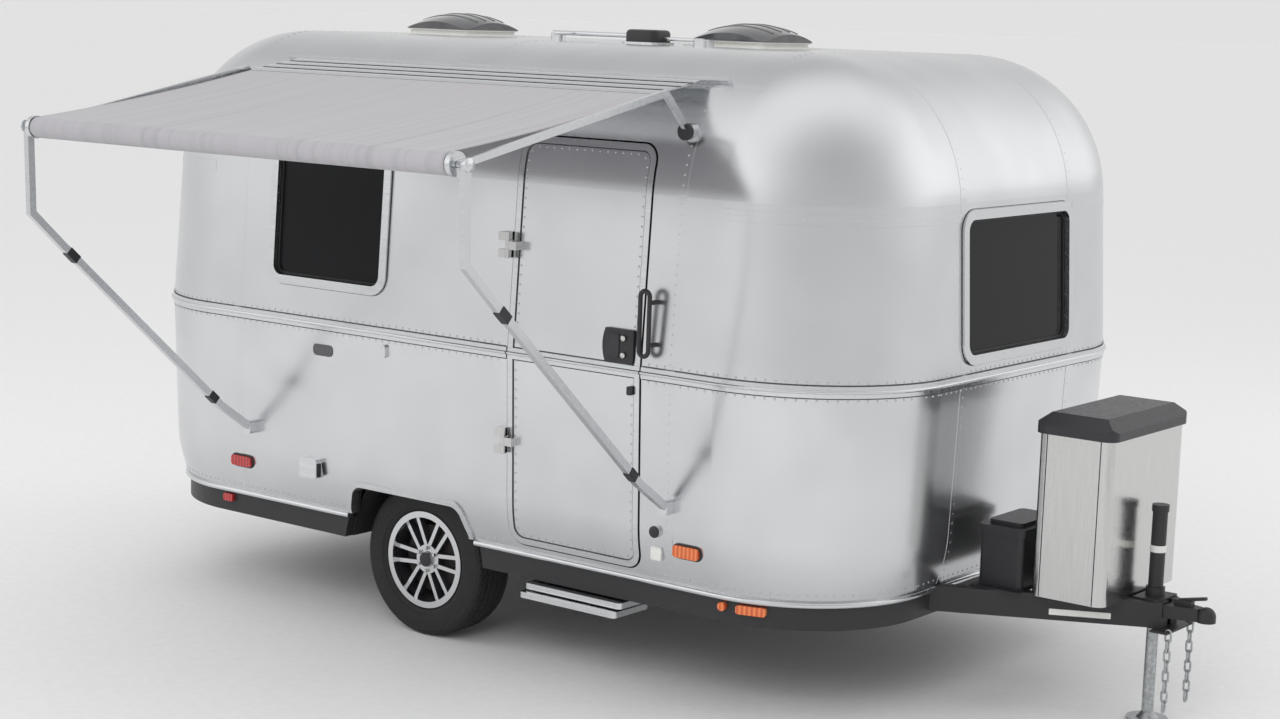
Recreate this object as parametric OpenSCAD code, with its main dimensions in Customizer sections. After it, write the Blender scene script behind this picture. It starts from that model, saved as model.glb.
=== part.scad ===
// Travel caravan: a polished aluminium body on one axle, with its awning set out.
// X points forward, Y to the left and Z up, from the centre of the hitch ball.
// Inside the modules heights count from the ground; the last lines set them on the ball.

/* [Body shell] */
// Length of the body between its front and rear panels
body_len = 4000; // [3800:10:4600]
// Width of the body at the belt line
body_w = 2438; // [2380:2:2540]
// Height of the roof above the ground
roof_z = 2525; // [2500:5:2650]
// Height of the belt line above the ground
belt_z = 1300; // [1260:5:1340]
// Height of the lower edge of the wall panels
sill_z = 490; // [486:1:500]
// Plan radius of the body's corners at the belt line
corner_r = 620; // [610:1:640]
// Radius of the shoulder between wall and roof
shoulder_r = 580; // [560:1:590]
// Radius of the tuck-in below the belt line
tuck_r = 600; // [590:1:605]
// Height of the centre of the tuck-in
tuck_z = 720; // [700:5:760]
// Thickness of the walls and the roof
wall_t = 50; // [40:1:60]
// Angle up the shoulder where the side sheet meets the roof sheet
seam_angle = 52; // [48:1:58]

/* [Door] */
// Distance of the door's latch edge behind the front panel
door_setback = 962; // [900:2:1000]
// Width of the door
door_w = 665; // [620:1:700]
// Height of the door's top edge above the ground
door_top = 2165; // [2100:5:2180]
// Gap all round the door
door_gap = 6; // [5:0.5:9]
// Thickness of the door's outer skin
door_skin = 8; // [6:0.5:12]
// How far the door's core stands back from the edge of its skin
door_rebate = 18; // [14:1:30]
// How far the hinge line stands outside the belt line
hinge_out = 16; // [14:1:22]

/* [Windows] */
// Width of the glass in the side windows
side_window_w = 626; // [500:2:680]
// Height of the glass in the side windows
side_window_h = 550; // [520:2:570]
// Height of the middle of the side windows
window_z = 1765; // [1760:1:1780]
// Distance of the rear side window's middle behind the front panel
side_window_setback = 2664; // [2600:2:2760]
// Width of the glass in the front and rear windows
end_window_w = 820; // [700:2:860]
// Height of the glass in the front and rear windows
end_window_h = 520; // [400:2:530]
// Height of the middle of the front and rear windows
end_window_z = 1655; // [1640:5:1700]
// Width of a window frame's flange on the skin
frame_flange = 38; // [30:1:44]
// How far a window frame stands proud of the skin
frame_proud = 12; // [8:1:16]
// Thickness of the window glass
glass_t = 8; // [6:0.5:12]

/* [Running gear] */
// Distance of the axle behind the front panel
axle_setback = 2199; // [2150:1:2300]
// Distance between the middles of the two tyres
track = 1955; // [1935:1:1965]
// Radius of the tyres
tyre_r = 328; // [318:1:335]
// Width of the tyres
tyre_w = 205; // [185:1:210]
// Radius of the rim where the tyre seats
rim_r = 190; // [188:1:195]
// Number of twin spokes in each wheel
spoke_count = 6; // [5:1:8]
// Side of the square axle tube
axle_tube = 76; // [60:1:80]

/* [Hitch and frame] */
// Distance of the front panel behind the hitch ball
tongue_len = 860; // [850:1:1000]
// Height of the hitch ball's centre above the ground
ball_z = 445; // [435:1:455]
// Radius of the ball that the coupler takes
ball_r = 25.4; // [25.4:0.1:29.4]
// Height of the frame's steel sections
frame_h = 100; // [80:1:105]
// Width of the frame's steel sections
frame_w = 50; // [40:1:60]
// Half of the angle between the two legs of the tongue
tongue_angle = 27; // [25:0.5:29]
// Distance of the jack behind the hitch ball
jack_setback = 215; // [205:1:225]
// Radius of the jack's outer tube
jack_r = 29; // [27:0.5:32]

/* [Awning] */
// Distance of the awning's front arm behind the front panel
awning_setback = 815; // [800:1:860]
// Distance between the awning's two arms
awning_len = 2291; // [2200:1:2320]
// How far the roller stands out from the body's middle plane
roller_y = 2405; // [2200:5:2500]
// Height of the roller above the ground
roller_z = 2140; // [2120:5:2200]
// Radius of the rolled fabric and its tube
roller_r = 38; // [30:1:45]

/* [Gas locker] */
// Width of the gas locker across the tongue
locker_w = 650; // [630:2:700]
// Depth of the gas locker along the tongue
locker_d = 310; // [300:1:315]
// Height of the gas locker's steel cover
locker_h = 670; // [640:2:700]
// Distance of the gas locker's front behind the hitch ball
locker_setback = 280; // [270:1:290]

/* [Roof vents] */
// Side of each roof vent's lid
vent_side = 390; // [360:1:420]
// Height of a roof vent's lid
vent_h = 72; // [60:1:90]

/* [Hidden] */
$fn = 64;
// Fineness of the large curves of the shell
shell_fn = 240;

// Reach of cutting shapes, past every part of the body
far = 3000;
// Gap between pieces that seat on one another
seat = 0.4;
// Running gap of a sliding or turning fit
running = 0.5;

silver = "#c9ccce";
bright = "#dcdee0";
dark_steel = "#3c3c3c";
black = "#26262a";
smoked = "#4a4b4e";
amber = "#d9643a";
red = "#c4494f";

half_w = body_w / 2;
axis_y = half_w - corner_r;
front_x = -tongue_len;
front_axis = front_x - corner_r;
rear_axis = front_x - body_len + corner_r;
shoulder_z = roof_z - shoulder_r;

// Lean of a line that leaves the belt and touches an arc of the given radius on the corner axis
function lean(rise, arc) = acos(arc / norm([corner_r, rise])) - atan2(rise, corner_r);
upper_lean = lean(shoulder_z - belt_z, shoulder_r);
lower_lean = lean(belt_z - tuck_z, tuck_r);
mitre_angle = (upper_lean - lower_lean) / 2;
mitre = [cos(mitre_angle), sin(mitre_angle)] / cos((upper_lean + lower_lean) / 2);

// Distance of the skin from the corner axis at height z, grown outward by off
function skin_r(z, off = 0) =
    z > shoulder_z + shoulder_r * sin(upper_lean) ? sqrt((shoulder_r + off) ^ 2 - (z - shoulder_z) ^ 2) :
    z > belt_z ? corner_r - (z - belt_z) * tan(upper_lean) + off / cos(upper_lean) :
    z > tuck_z - tuck_r * sin(lower_lean) ? corner_r - (belt_z - z) * tan(lower_lean) + off / cos(lower_lean) :
    sqrt((tuck_r + off) ^ 2 - (tuck_z - z) ^ 2);
function skin_y(z, off = 0) = axis_y + skin_r(z, off);

// A convex outline, counter-clockwise: inward normals, corner centres and growth
function unit(v) = v / norm(v);
function inward(a, b) = let (e = unit(b - a)) [-e.y, e.x];
function at(points, i) = points[(i + len(points)) % len(points)];
function inset(points, i, d) =
    let (n1 = inward(at(points, i - 1), at(points, i)), n2 = inward(at(points, i), at(points, i + 1)))
    at(points, i) + d * (n1 + n2) / (1 + n1 * n2);
function grown(points, d) = [for (i = [0:len(points) - 1]) inset(points, i, -d)];
function box_points(w, h) = [[-w / 2, -h / 2], [w / 2, -h / 2], [w / 2, h / 2], [-w / 2, h / 2]];

// A convex outline with its corners rounded by true arcs
module rounded_outline(points, r) {
    last = len(points) - 1;
    polygon([for (i = [0:last]) each
        [inset(points, i, r) - r * inward(at(points, i - 1), at(points, i)),
         inset(points, i, r) - r * inward(at(points, i), at(points, i + 1))]]);
    for (i = [0:last]) translate(inset(points, i, r)) circle(r);
}
module rounded(w, h, r) rounded_outline(box_points(w, h), r);
module plate(w, d, h, r) linear_extrude(h) rounded(w, d, r);

// A bar of even width along a path, with mitred bends and round ends
function beside(path, d) = let (last = len(path) - 1) [for (i = [0:last])
    let (n1 = i > 0 ? inward(path[i - 1], path[i]) : inward(path[0], path[1]),
         n2 = i < last ? inward(path[i], path[i + 1]) : n1)
    path[i] + d * (n1 + n2) / (1 + n1 * n2)];
function turned(points) = [for (i = [len(points) - 1:-1:0]) points[i]];
module strip(path, width) {
    polygon(concat(beside(path, -width / 2), turned(beside(path, width / 2))));
    for (end = [path[0], path[len(path) - 1]]) translate(end) circle(width / 2);
}

// The body's section outward from a corner axis: three parts between two distances from the skin
shoulder_part = 0;
wall_part = 1;
tuck_part = 2;
function shoulder_touch(off) = [0, shoulder_z] + (shoulder_r + off) * [cos(upper_lean), sin(upper_lean)];
function belt_point(off) = [corner_r, belt_z] + off * mitre;
function tuck_touch(off) = [0, tuck_z] + (tuck_r + off) * [cos(lower_lean), -sin(lower_lean)];
module wedge(centre, from, to) polygon([centre, centre + far * [cos(from), sin(from)], centre + far * [cos(to), sin(to)]]);
module arc_band(height, inner, outer) translate([0, height]) difference() {
    circle(outer, $fn = shell_fn);
    circle(inner, $fn = shell_fn);
}
module part(i, inner, outer, from = upper_lean, to = 90) {
    if (i == shoulder_part) intersection() {
        arc_band(shoulder_z, shoulder_r + inner, shoulder_r + outer);
        wedge([0, shoulder_z], from, to);
    }
    if (i == wall_part) polygon([shoulder_touch(inner), shoulder_touch(outer), belt_point(outer),
        tuck_touch(outer), tuck_touch(inner), belt_point(inner)]);
    if (i == tuck_part) intersection() {
        arc_band(tuck_z, tuck_r + inner, tuck_r + outer);
        wedge([0, tuck_z], -90, -lower_lean);
        translate([0, sill_z]) square(far);
    }
}

// Runs of an outline: along a side (1 left, -1 right), across an end (1 front, -1 rear), round a corner
module side_run(side, x0, x1) translate([x0, side * axis_y, 0]) mirror([0, side < 0 ? 1 : 0, 0])
    rotate([90, 0, 90]) linear_extrude(x1 - x0) children();
module end_run(end, y0, y1) translate([end > 0 ? front_axis : rear_axis, y1, 0]) mirror([end < 0 ? 1 : 0, 0, 0])
    rotate([90, 0, 0]) linear_extrude(y1 - y0) children();
module corner_run(quarter)
    translate([quarter == 0 || quarter == 3 ? front_axis : rear_axis, (quarter < 2 ? 1 : -1) * axis_y, 0])
        rotate(90 * quarter) rotate_extrude(angle = 90, $fn = shell_fn) children();
module ring_run() {
    for (side = [-1, 1]) side_run(side, rear_axis, front_axis) children();
    for (end = [-1, 1]) end_run(end, -axis_y, axis_y) children();
    for (quarter = [0:3]) corner_run(quarter) children();
}
// Shells between two distances from the skin
module side_shell(side, x0, x1, inner, outer, to = 90)
    for (i = [shoulder_part:tuck_part]) side_run(side, x0, x1) part(i, inner, outer, to = to);
module end_shell(end, inner, outer)
    for (i = [shoulder_part:tuck_part]) end_run(end, -axis_y, axis_y) part(i, inner, outer);
module corner_shell(quarter, inner, outer)
    for (i = [shoulder_part:tuck_part]) corner_run(quarter) part(i, inner, outer);
// The plan outline at a given distance from the corner axes
module plan(r) {
    translate([rear_axis - r, -axis_y]) square([front_axis - rear_axis + 2 * r, 2 * axis_y]);
    translate([rear_axis, -axis_y - r]) square([front_axis - rear_axis, 2 * (axis_y + r)]);
    for (x = [rear_axis, front_axis], y = [-axis_y, axis_y]) translate([x, y]) circle(r);
}

// Prisms through a side wall or an end panel, and what stays outside the skin
module side_prism(side, x, z) translate([x, side > 0 ? far : 0, z]) rotate([90, 0, 0]) linear_extrude(far) children();
module end_prism(end, z) translate([end > 0 ? front_axis : rear_axis - far, 0, z])
    rotate([90, 0, 90]) linear_extrude(far) children();
module outside_side(side) difference() {
    children();
    side_shell(side, rear_axis, front_axis, -2 * wall_t, seat);
}
// A block on a side wall, from inside the skin out to its proud face
module side_block(side, x, z, proud) outside_side(side)
    translate([x, side * (skin_y(z) + proud), z]) rotate([side > 0 ? 90 : -90, 0, 0])
        linear_extrude(proud + wall_t) children();

// Windows: [side or end, middle along the wall]
window_x = front_x - side_window_setback;
front_window_x = front_x - corner_r - side_window_w;
side_windows = [[-1, window_x], [1, window_x], [1, front_window_x]];
window_radius = 45;
sleeve_t = 10;
glass_back = 16;
module window_outline(w, h, grow) rounded(w + 2 * grow, h + 2 * grow, window_radius + grow);
opening_grow = sleeve_t + seat;
module side_window_holes(side) for (w = side_windows) if (w[0] == side)
    side_prism(side, w[1], window_z) window_outline(side_window_w, side_window_h, opening_grow);
module window_ring(w, h, inner, outer) difference() {
    window_outline(w, h, outer);
    window_outline(w, h, inner);
}
module window_frames() color(bright) {
    for (w = side_windows) {
        x0 = w[1] - side_window_w;
        x1 = w[1] + side_window_w;
        intersection() {
            side_shell(w[0], x0, x1, seat, frame_proud);
            side_prism(w[0], w[1], window_z) window_ring(side_window_w, side_window_h, 0, frame_flange);
        }
        intersection() {
            side_shell(w[0], x0, x1, -wall_t, seat);
            side_prism(w[0], w[1], window_z) window_ring(side_window_w, side_window_h, 0, sleeve_t);
        }
    }
    for (end = [-1, 1]) {
        intersection() {
            end_shell(end, seat, frame_proud);
            end_prism(end, end_window_z) window_ring(end_window_w, end_window_h, 0, frame_flange);
        }
        intersection() {
            end_shell(end, -wall_t, seat);
            end_prism(end, end_window_z) window_ring(end_window_w, end_window_h, 0, sleeve_t);
        }
    }
}
module window_glass() color(smoked) {
    for (w = side_windows) intersection() {
        side_shell(w[0], w[1] - side_window_w, w[1] + side_window_w, -glass_back - glass_t, -glass_back);
        side_prism(w[0], w[1], window_z) window_outline(side_window_w, side_window_h, -seat);
    }
    for (end = [-1, 1]) intersection() {
        end_shell(end, -glass_back - glass_t, -glass_back);
        end_prism(end, end_window_z) window_outline(end_window_w, end_window_h, -seat);
    }
}

// Wheel arches: a squared opening with sloping sides in each wall
axle_x = front_x - axle_setback;
arch_top = sill_z + 130;
arch_half_top = 296;
arch_half_low = 362;
arch_r = 60;
arch_points = [[-arch_half_low, -wall_t], [arch_half_low, -wall_t],
    [arch_half_top, arch_top - sill_z], [-arch_half_top, arch_top - sill_z]];
module arch_hole(side, grow) side_prism(side, axle_x, sill_z) {
    rounded_outline(grown(arch_points, grow), arch_r + grow);
    translate([0, -wall_t]) square([2 * (arch_half_low + grow), 2 * wall_t], center = true);
}

// Door: one outline, grown for the opening and cut back for the core
door_x1 = front_x - door_setback;
door_x0 = door_x1 - door_w;
threshold = 24;
door_low = sill_z + threshold + door_gap;
door_radius = 70;
door_mid = [(door_x0 + door_x1) / 2, (door_low + door_top) / 2];
module door_outline(grow) rounded(door_w + 2 * grow, door_top - door_low + 2 * grow, door_radius + grow);
module door_prism(grow) side_prism(-1, door_mid.x, door_mid.y) door_outline(grow);

module wall_sheet(side) side_shell(side, rear_axis, front_axis, -wall_t, 0, seam_angle);
module wall_right() color(silver) difference() {
    wall_sheet(-1);
    door_prism(door_gap);
    side_window_holes(-1);
    arch_hole(-1, 0);
}
module wall_left() color(silver) difference() {
    wall_sheet(1);
    side_window_holes(1);
    arch_hole(1, 0);
}

// Roof vents: distance of each lid's middle behind the front panel
vent_setbacks = [1350, 3000];
vent_hole = vent_side - 60;
vent_wall = 12;
vent_flange = 24;
vent_flange_t = 6;
vent_curb_h = 26;
vent_lip_t = 5;
vent_corner = 40;
vent_low = roof_z + vent_curb_h + seat;
module roof() color(silver) difference() {
    union() {
        for (side = [-1, 1]) side_run(side, rear_axis, front_axis) part(shoulder_part, -wall_t, 0, from = seam_angle);
        translate([rear_axis, -axis_y, roof_z - wall_t]) cube([front_axis - rear_axis, 2 * axis_y, wall_t]);
    }
    for (s = vent_setbacks) translate([front_x - s, 0, roof_z - 2 * wall_t]) plate(vent_hole, vent_hole, far, 20);
}
module end_panel(end) difference() {
    end_shell(end, -wall_t, 0);
    end_prism(end, end_window_z) window_outline(end_window_w, end_window_h, opening_grow);
}
module front_panel() color(silver) end_panel(1);
module rear_panel() color(silver) end_panel(-1);
module front_corners() color(silver) for (quarter = [0, 3]) corner_shell(quarter, -wall_t, 0);
module rear_corners() color(silver) for (quarter = [1, 2]) corner_shell(quarter, -wall_t, 0);

// Under the walls: sill rail, belly pan and floor, cut away at the wheels
sill_r = skin_r(sill_z);
rail_h = 25;
rail_nose = rail_h / 2;
pan_top = sill_z - rail_h;
pan_t = 15;
pan_inset = 12;
frame_low = sill_z - frame_h;
pan_low = frame_low - pan_t;
floor_low = frame_low + frame_h;
floor_t = 35;
wheel_y = track / 2;
well_gap = 62;
housing_t = 8;
well_r = tyre_r + well_gap;
housing_top = tyre_r + well_r + housing_t;
housing_y = skin_y(sill_z, -wall_t) - 2 * seat;
well_y = wheel_y - tyre_w / 2 - 40;
module well(side, r, y0) translate([axle_x, side * y0, tyre_r]) rotate([side > 0 ? -90 : 90, 0, 0]) cylinder(r = r, h = far);
module wells(grow, y0) for (side = [-1, 1]) well(side, well_r + grow, y0);
module floor() color(dark_steel) difference() {
    translate([0, 0, floor_low]) linear_extrude(floor_t) plan(skin_r(max(floor_low, sill_z), -wall_t) - seat);
    wells(housing_t + seat, well_y - housing_t - seat);
}
module sill_rail() color(bright) difference() {
    ring_run() {
        translate([sill_r - wall_t, pan_top]) square([wall_t, rail_h]);
        translate([sill_r, pan_top + rail_nose]) circle(rail_nose);
    }
    for (side = [-1, 1]) {
        arch_hole(side, 0);
        leg_bar(side, seat);
    }
}
module leg_bar(side, grow) translate([tongue_tip_x, side * tongue_tip_y, frame_low - grow])
    rotate(180 - side * tongue_angle) translate([-2 * frame_w, -frame_w / 2 - grow, 0])
        cube([tongue_leg_len + 2 * frame_w, frame_w + 2 * grow, frame_h + 2 * grow]);
module belly_pan() color(dark_steel) difference() {
    translate([0, 0, pan_low]) linear_extrude(pan_top - pan_low) plan(sill_r - pan_inset);
    difference() {
        translate([0, 0, frame_low]) linear_extrude(far) plan(sill_r - pan_inset - pan_t);
        wells(housing_t + pan_t, well_y - housing_t - pan_t);
    }
    wells(housing_t + seat, well_y - housing_t - seat);
    for (side = [-1, 1]) leg_bar(side, seat);
}
module wheel_housings() color(dark_steel) for (side = [-1, 1]) intersection() {
    difference() {
        well(side, well_r + housing_t, well_y - housing_t);
        well(side, well_r, well_y);
    }
    translate([axle_x - 2 * well_r, 0, 0]) mirror([0, side < 0 ? 1 : 0, 0]) rotate([90, 0, 90]) linear_extrude(4 * well_r)
        polygon([[0, pan_low], [housing_y, pan_low], [housing_y, sill_z],
            [skin_y(housing_top, -wall_t) - 2 * seat, housing_top], [0, housing_top]]);
}
arch_trim_w = 24;
arch_trim_proud = 9;
module arch_trims() color(bright) for (side = [-1, 1]) intersection() {
    side_shell(side, axle_x - 2 * arch_half_low, axle_x + 2 * arch_half_low, seat, arch_trim_proud);
    difference() {
        arch_hole(side, arch_trim_w);
        arch_hole(side, 0);
    }
}

// Belt rail: a flat band with a half-round bead, parted at the door
belt_h = 44;
belt_proud = 6;
belt_bead = 7;
module belt_section() {
    intersection() {
        part(wall_part, seat, belt_proud);
        translate([0, belt_z - belt_h / 2]) square([far, belt_h]);
    }
    difference() {
        translate([corner_r + belt_proud, belt_z]) circle(belt_bead);
        part(wall_part, -wall_t, belt_proud / 2);
    }
}
module belt_rail() color(bright) difference() {
    ring_run() belt_section();
    door_prism(door_gap);
}

// Door and what it carries
module door_panel() color(silver) {
    intersection() {
        side_shell(-1, door_x0 - door_w, door_x1 + door_w, -door_skin, 0);
        door_prism(0);
    }
    intersection() {
        side_shell(-1, door_x0 - door_w, door_x1 + door_w, -wall_t, -door_skin);
        door_prism(-door_rebate);
    }
}
bead_w = 26;
bead_proud = 5;
module door_bead() color(bright) {
    difference() {
        intersection() {
            side_shell(-1, door_x0 - door_w, door_x1 + door_w, seat, bead_proud);
            door_prism(0);
        }
        door_prism(-bead_w);
        translate([door_x0 - door_w, -far, belt_z - belt_h / 2 - seat]) cube([3 * door_w, far, belt_h + 2 * seat]);
    }
    side_run(-1, door_x0, door_x1) belt_section();
}
hinge_zs = [942, 1731];
hinge_x = door_x0 - door_gap / 2;
hinge_y = half_w + hinge_out;
knuckle_r = 9;
knuckle_h = 34;
pin_r = 5;
leaf_w = 46;
leaf_t = 7;
module knuckle(z) translate([hinge_x, -hinge_y, z - knuckle_h / 2]) cylinder(r = knuckle_r, h = knuckle_h);
// A leaf is a block on the skin beside the hinge line, with a tongue out to its knuckle
module leaf(dir, z) outside_side(-1) translate([hinge_x, -hinge_y - leaf_t / 2, z - knuckle_h / 2]) {
    translate([dir > 0 ? door_gap / 2 : -leaf_w, 0, 0]) cube([leaf_w - door_gap / 2, wall_t, knuckle_h]);
    translate([dir > 0 ? 0 : -leaf_w / 2, 0, 0]) cube([leaf_w / 2, leaf_t, knuckle_h]);
}
module door_hinges() color(bright) for (z = hinge_zs) difference() {
    union() {
        knuckle(z);
        leaf(1, z);
    }
    intersection() {
        side_shell(-1, door_x0 - door_w, door_x1 + door_w, -wall_t, bead_proud + seat);
        door_prism(0);
        translate([door_x0 - door_w, -far, 0]) cube([door_w + bead_w + seat, far, far]);
    }
    translate([hinge_x, -hinge_y, z - knuckle_h]) cylinder(r = pin_r + running, h = 2 * knuckle_h);
}
module hinge_plates() color(dark_steel) for (z = hinge_zs) {
    for (dir = [-1, 1]) {
        knuckle(z + dir * (knuckle_h + seat));
        leaf(-1, z + dir * (knuckle_h + seat));
    }
    translate([hinge_x, -hinge_y, z - knuckle_h]) cylinder(r = pin_r, h = 2 * knuckle_h);
}
lock_size = [150, 132];
lock_proud = 16;
lock_x = door_x1 - bead_w - lock_size.x / 2 - 4;
lock_z = belt_z + 92;
stud_r = 11;
module door_lock() color(black) {
    side_block(-1, lock_x, lock_z, lock_proud) intersection() {
        rounded(lock_size.x, lock_size.y, 12);
        translate([lock_size.x * 0.6, 0]) circle(lock_size.x * 1.1);
    }
    for (dz = [-0.25, 0.25]) translate([lock_x + lock_size.x * 0.2, -skin_y(lock_z) - lock_proud, lock_z + dz * lock_size.y])
        rotate([90, 0, 0]) cylinder(r = stud_r, h = 6);
    side_block(-1, door_x1 - bead_w - 14, belt_z - 75, 18) rounded(24, 34, 6);
}
// Grab handle: an upright loop beside the door on two feet
grab_h = 250;
grab_half = 22;
grab_t = 9;
grab_out = 48;
grab_x = door_x1 + door_gap + 34;
grab_z = belt_z + 195;
module grab_handle() color(dark_steel) {
    translate([grab_x, -skin_y(grab_z) - grab_out, grab_z]) {
        for (dir = [-1, 1]) {
            translate([0, 0, dir * (grab_h / 2 - grab_half)]) rotate([90, 0, 0]) rotate(dir > 0 ? 0 : 180)
                rotate_extrude(angle = 180) translate([grab_half, 0]) circle(grab_t);
            translate([dir * grab_half, 0, -grab_h / 2 + grab_half]) cylinder(r = grab_t, h = grab_h - 2 * grab_half);
        }
    }
    for (dir = [-1, 1]) outside_side(-1)
        translate([grab_x + grab_half, -skin_y(grab_z) - grab_out, grab_z + dir * (grab_h / 2 - 2 * grab_half)])
            rotate([-90, 0, 0]) cylinder(r = grab_t, h = grab_out + wall_t);
}
// Folding double step, stowed under the door
step_w = 490;
step_d = 230;
tread_t = 24;
tread_drop = 30;
tread_out = 34;
module entry_step() color(dark_steel) {
    for (i = [0, 1]) translate([door_mid.x, -skin_y(sill_z) + step_d / 2 - tread_out * (i + 1), pan_low - tread_drop * (i + 1)])
        plate(step_w, step_d, tread_t, 18);
    for (dx = [-1, 1]) translate([door_mid.x + dx * (step_w / 2 - 40) - 6, -skin_y(sill_z) + 60, pan_low - 2 * tread_drop + tread_t / 2])
        cube([12, 60, 2 * tread_drop - tread_t / 2]);
}

// Tongue: two steel legs that run on into the belly pan, with plates for the chains and the jack
root_y = 500;
tongue_tip_x = -150;
tongue_tip_y = 44;
tongue_leg_len = (root_y - tongue_tip_y) / sin(tongue_angle);
jack_plate = [110, 160, 8];
module tongue_leg(side) color(dark_steel) difference() {
    leg_bar(side, 0);
    translate([tongue_tip_x, -far / 2, 0]) cube([far, far, far]);
}
module tongue_leg_right() tongue_leg(-1);
module tongue_leg_left() tongue_leg(1);
module tongue_plates() color(dark_steel) {
    difference() {
        translate([tongue_tip_x - chain_lap, -chain_y - 24, frame_low - chain_plate_t])
            cube([chain_plate_x - tongue_tip_x + chain_lap, 2 * chain_y + 48, chain_plate_t]);
        for (side = [-1, 1]) translate([chain_plate_x - chain_edge - chain_hole_r, side * chain_y, 0])
            cylinder(r = chain_hole_r, h = far);
    }
    difference() {
        translate([-jack_setback - jack_plate.x / 2, -jack_plate.y / 2, frame_low + frame_h]) cube(jack_plate);
        translate([-jack_setback, 0, 0]) cylinder(r = jack_r + seat, h = far);
    }
}
// Coupler: a domed socket on a tapering neck, with its latch
socket_wall = 11;
socket_rise = 6;
neck_w = 60;
neck_low = -16;
neck_top = 34;
latch_w = 34;
module coupler() color(dark_steel) translate([0, 0, ball_z]) difference() {
    union() {
        intersection() {
            translate([0, 0, socket_rise]) sphere(ball_r + socket_wall);
            translate([-far / 2, -far / 2, neck_low]) cube(far);
        }
        translate([0, 0, neck_low]) cylinder(r = ball_r + socket_wall, h = socket_rise - neck_low);
        translate([0, 0, neck_low]) linear_extrude(neck_top - neck_low)
            polygon([[-ball_r, -ball_r], [-ball_r, ball_r], [tongue_tip_x, neck_w], [tongue_tip_x, -neck_w]]);
        translate([tongue_tip_x + 22, -latch_w / 2, neck_top]) cube([70, latch_w, 22]);
        translate([tongue_tip_x + 40, -latch_w / 4, neck_top + 12]) rotate([0, -12, 0]) cube([110, latch_w / 2, 12]);
    }
    translate([0, 0, socket_rise]) sphere(ball_r + running / 2);
    translate([0, 0, socket_rise - far]) cylinder(r = ball_r + running / 2, h = far);
}
// Jack: a fixed tube with a sliding leg and a round foot on the ground
jack_top = 855;
leg_r = jack_r - 6;
foot_r = 80;
foot_t = 10;
jack_low = frame_low - 20;
leg_top = jack_top - 340;
module jack_tube() color(black) translate([-jack_setback, 0, 0]) difference() {
    union() {
        translate([0, 0, jack_low]) cylinder(r = jack_r, h = jack_top - jack_low);
        translate([0, 0, frame_low + frame_h + jack_plate.z]) cylinder(r = jack_r + 8, h = 34);
        translate([0, 0, jack_top - 26]) cylinder(r = jack_r + 4, h = 26);
    }
    translate([0, 0, jack_low - 1]) cylinder(r = leg_r + running, h = jack_top - jack_low - 20);
}
module jack_leg() color(bright) translate([-jack_setback, 0, 0]) {
    cylinder(r = foot_r, h = foot_t);
    translate([0, 0, foot_t]) cylinder(r1 = leg_r + 20, r2 = leg_r, h = 24);
    cylinder(r = leg_r, h = leg_top);
}
// Safety chains: welded links that hang from a plate under the coupler
chain_y = 100;
chain_plate_x = -100;
chain_lap = 22;
chain_plate_t = 8;
chain_edge = 10;
chain_hole_r = 8;
chain_lift = 2.7;
wire_r = 4;
link_half = 7 + wire_r;
link_len = 40;
link_pitch = link_len - seat;
link_count = 8;
link_run = link_len / 2 - link_half + wire_r;
module link() {
    for (dir = [-1, 1]) {
        translate([0, 0, dir * link_run]) rotate([90, 0, 0]) rotate(dir > 0 ? 0 : 180)
            rotate_extrude(angle = 180) translate([link_half, 0]) circle(wire_r, $fn = 24);
        translate([dir * link_half, 0, -link_run]) cylinder(r = wire_r, h = 2 * link_run, $fn = 24);
    }
}
module safety_chains() color(bright) for (side = [-1, 1], i = [0:link_count - 1])
    translate([chain_plate_x - chain_edge / 2, side * chain_y, frame_low + chain_lift - link_len / 2 - i * link_pitch])
        rotate(90 * (i % 2)) link();

// Axle: a torsion tube with trailing arms that end in the spindles
spindle_r = 22;
arm_len = 150;
arm_t = 24;
arm_h = 60;
drum_r = 142;
drum_back = 112;
arm_y = wheel_y - drum_back - arm_t - 6;
tube_z = tyre_r;
axle_seat = pan_low - tube_z - axle_tube / 2;
module axle() color(dark_steel) {
    translate([axle_x + arm_len - axle_tube / 2, -arm_y, tube_z - axle_tube / 2]) cube([axle_tube, 2 * arm_y, axle_tube]);
    for (side = [-1, 1]) {
        translate([axle_x, side > 0 ? arm_y + arm_t : -arm_y, 0]) rotate([90, 0, 0]) linear_extrude(arm_t)
            strip([[0, tyre_r], [arm_len, tube_z]], arm_h);
        translate([axle_x, side * arm_y, tyre_r]) rotate([side > 0 ? -90 : 90, 0, 0])
            cylinder(r = spindle_r, h = wheel_y - arm_y + 20);
        translate([axle_x + arm_len - axle_tube, side * root_y - 40, tube_z + axle_tube / 2]) cube([2 * axle_tube, 80, axle_seat]);
    }
}
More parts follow.
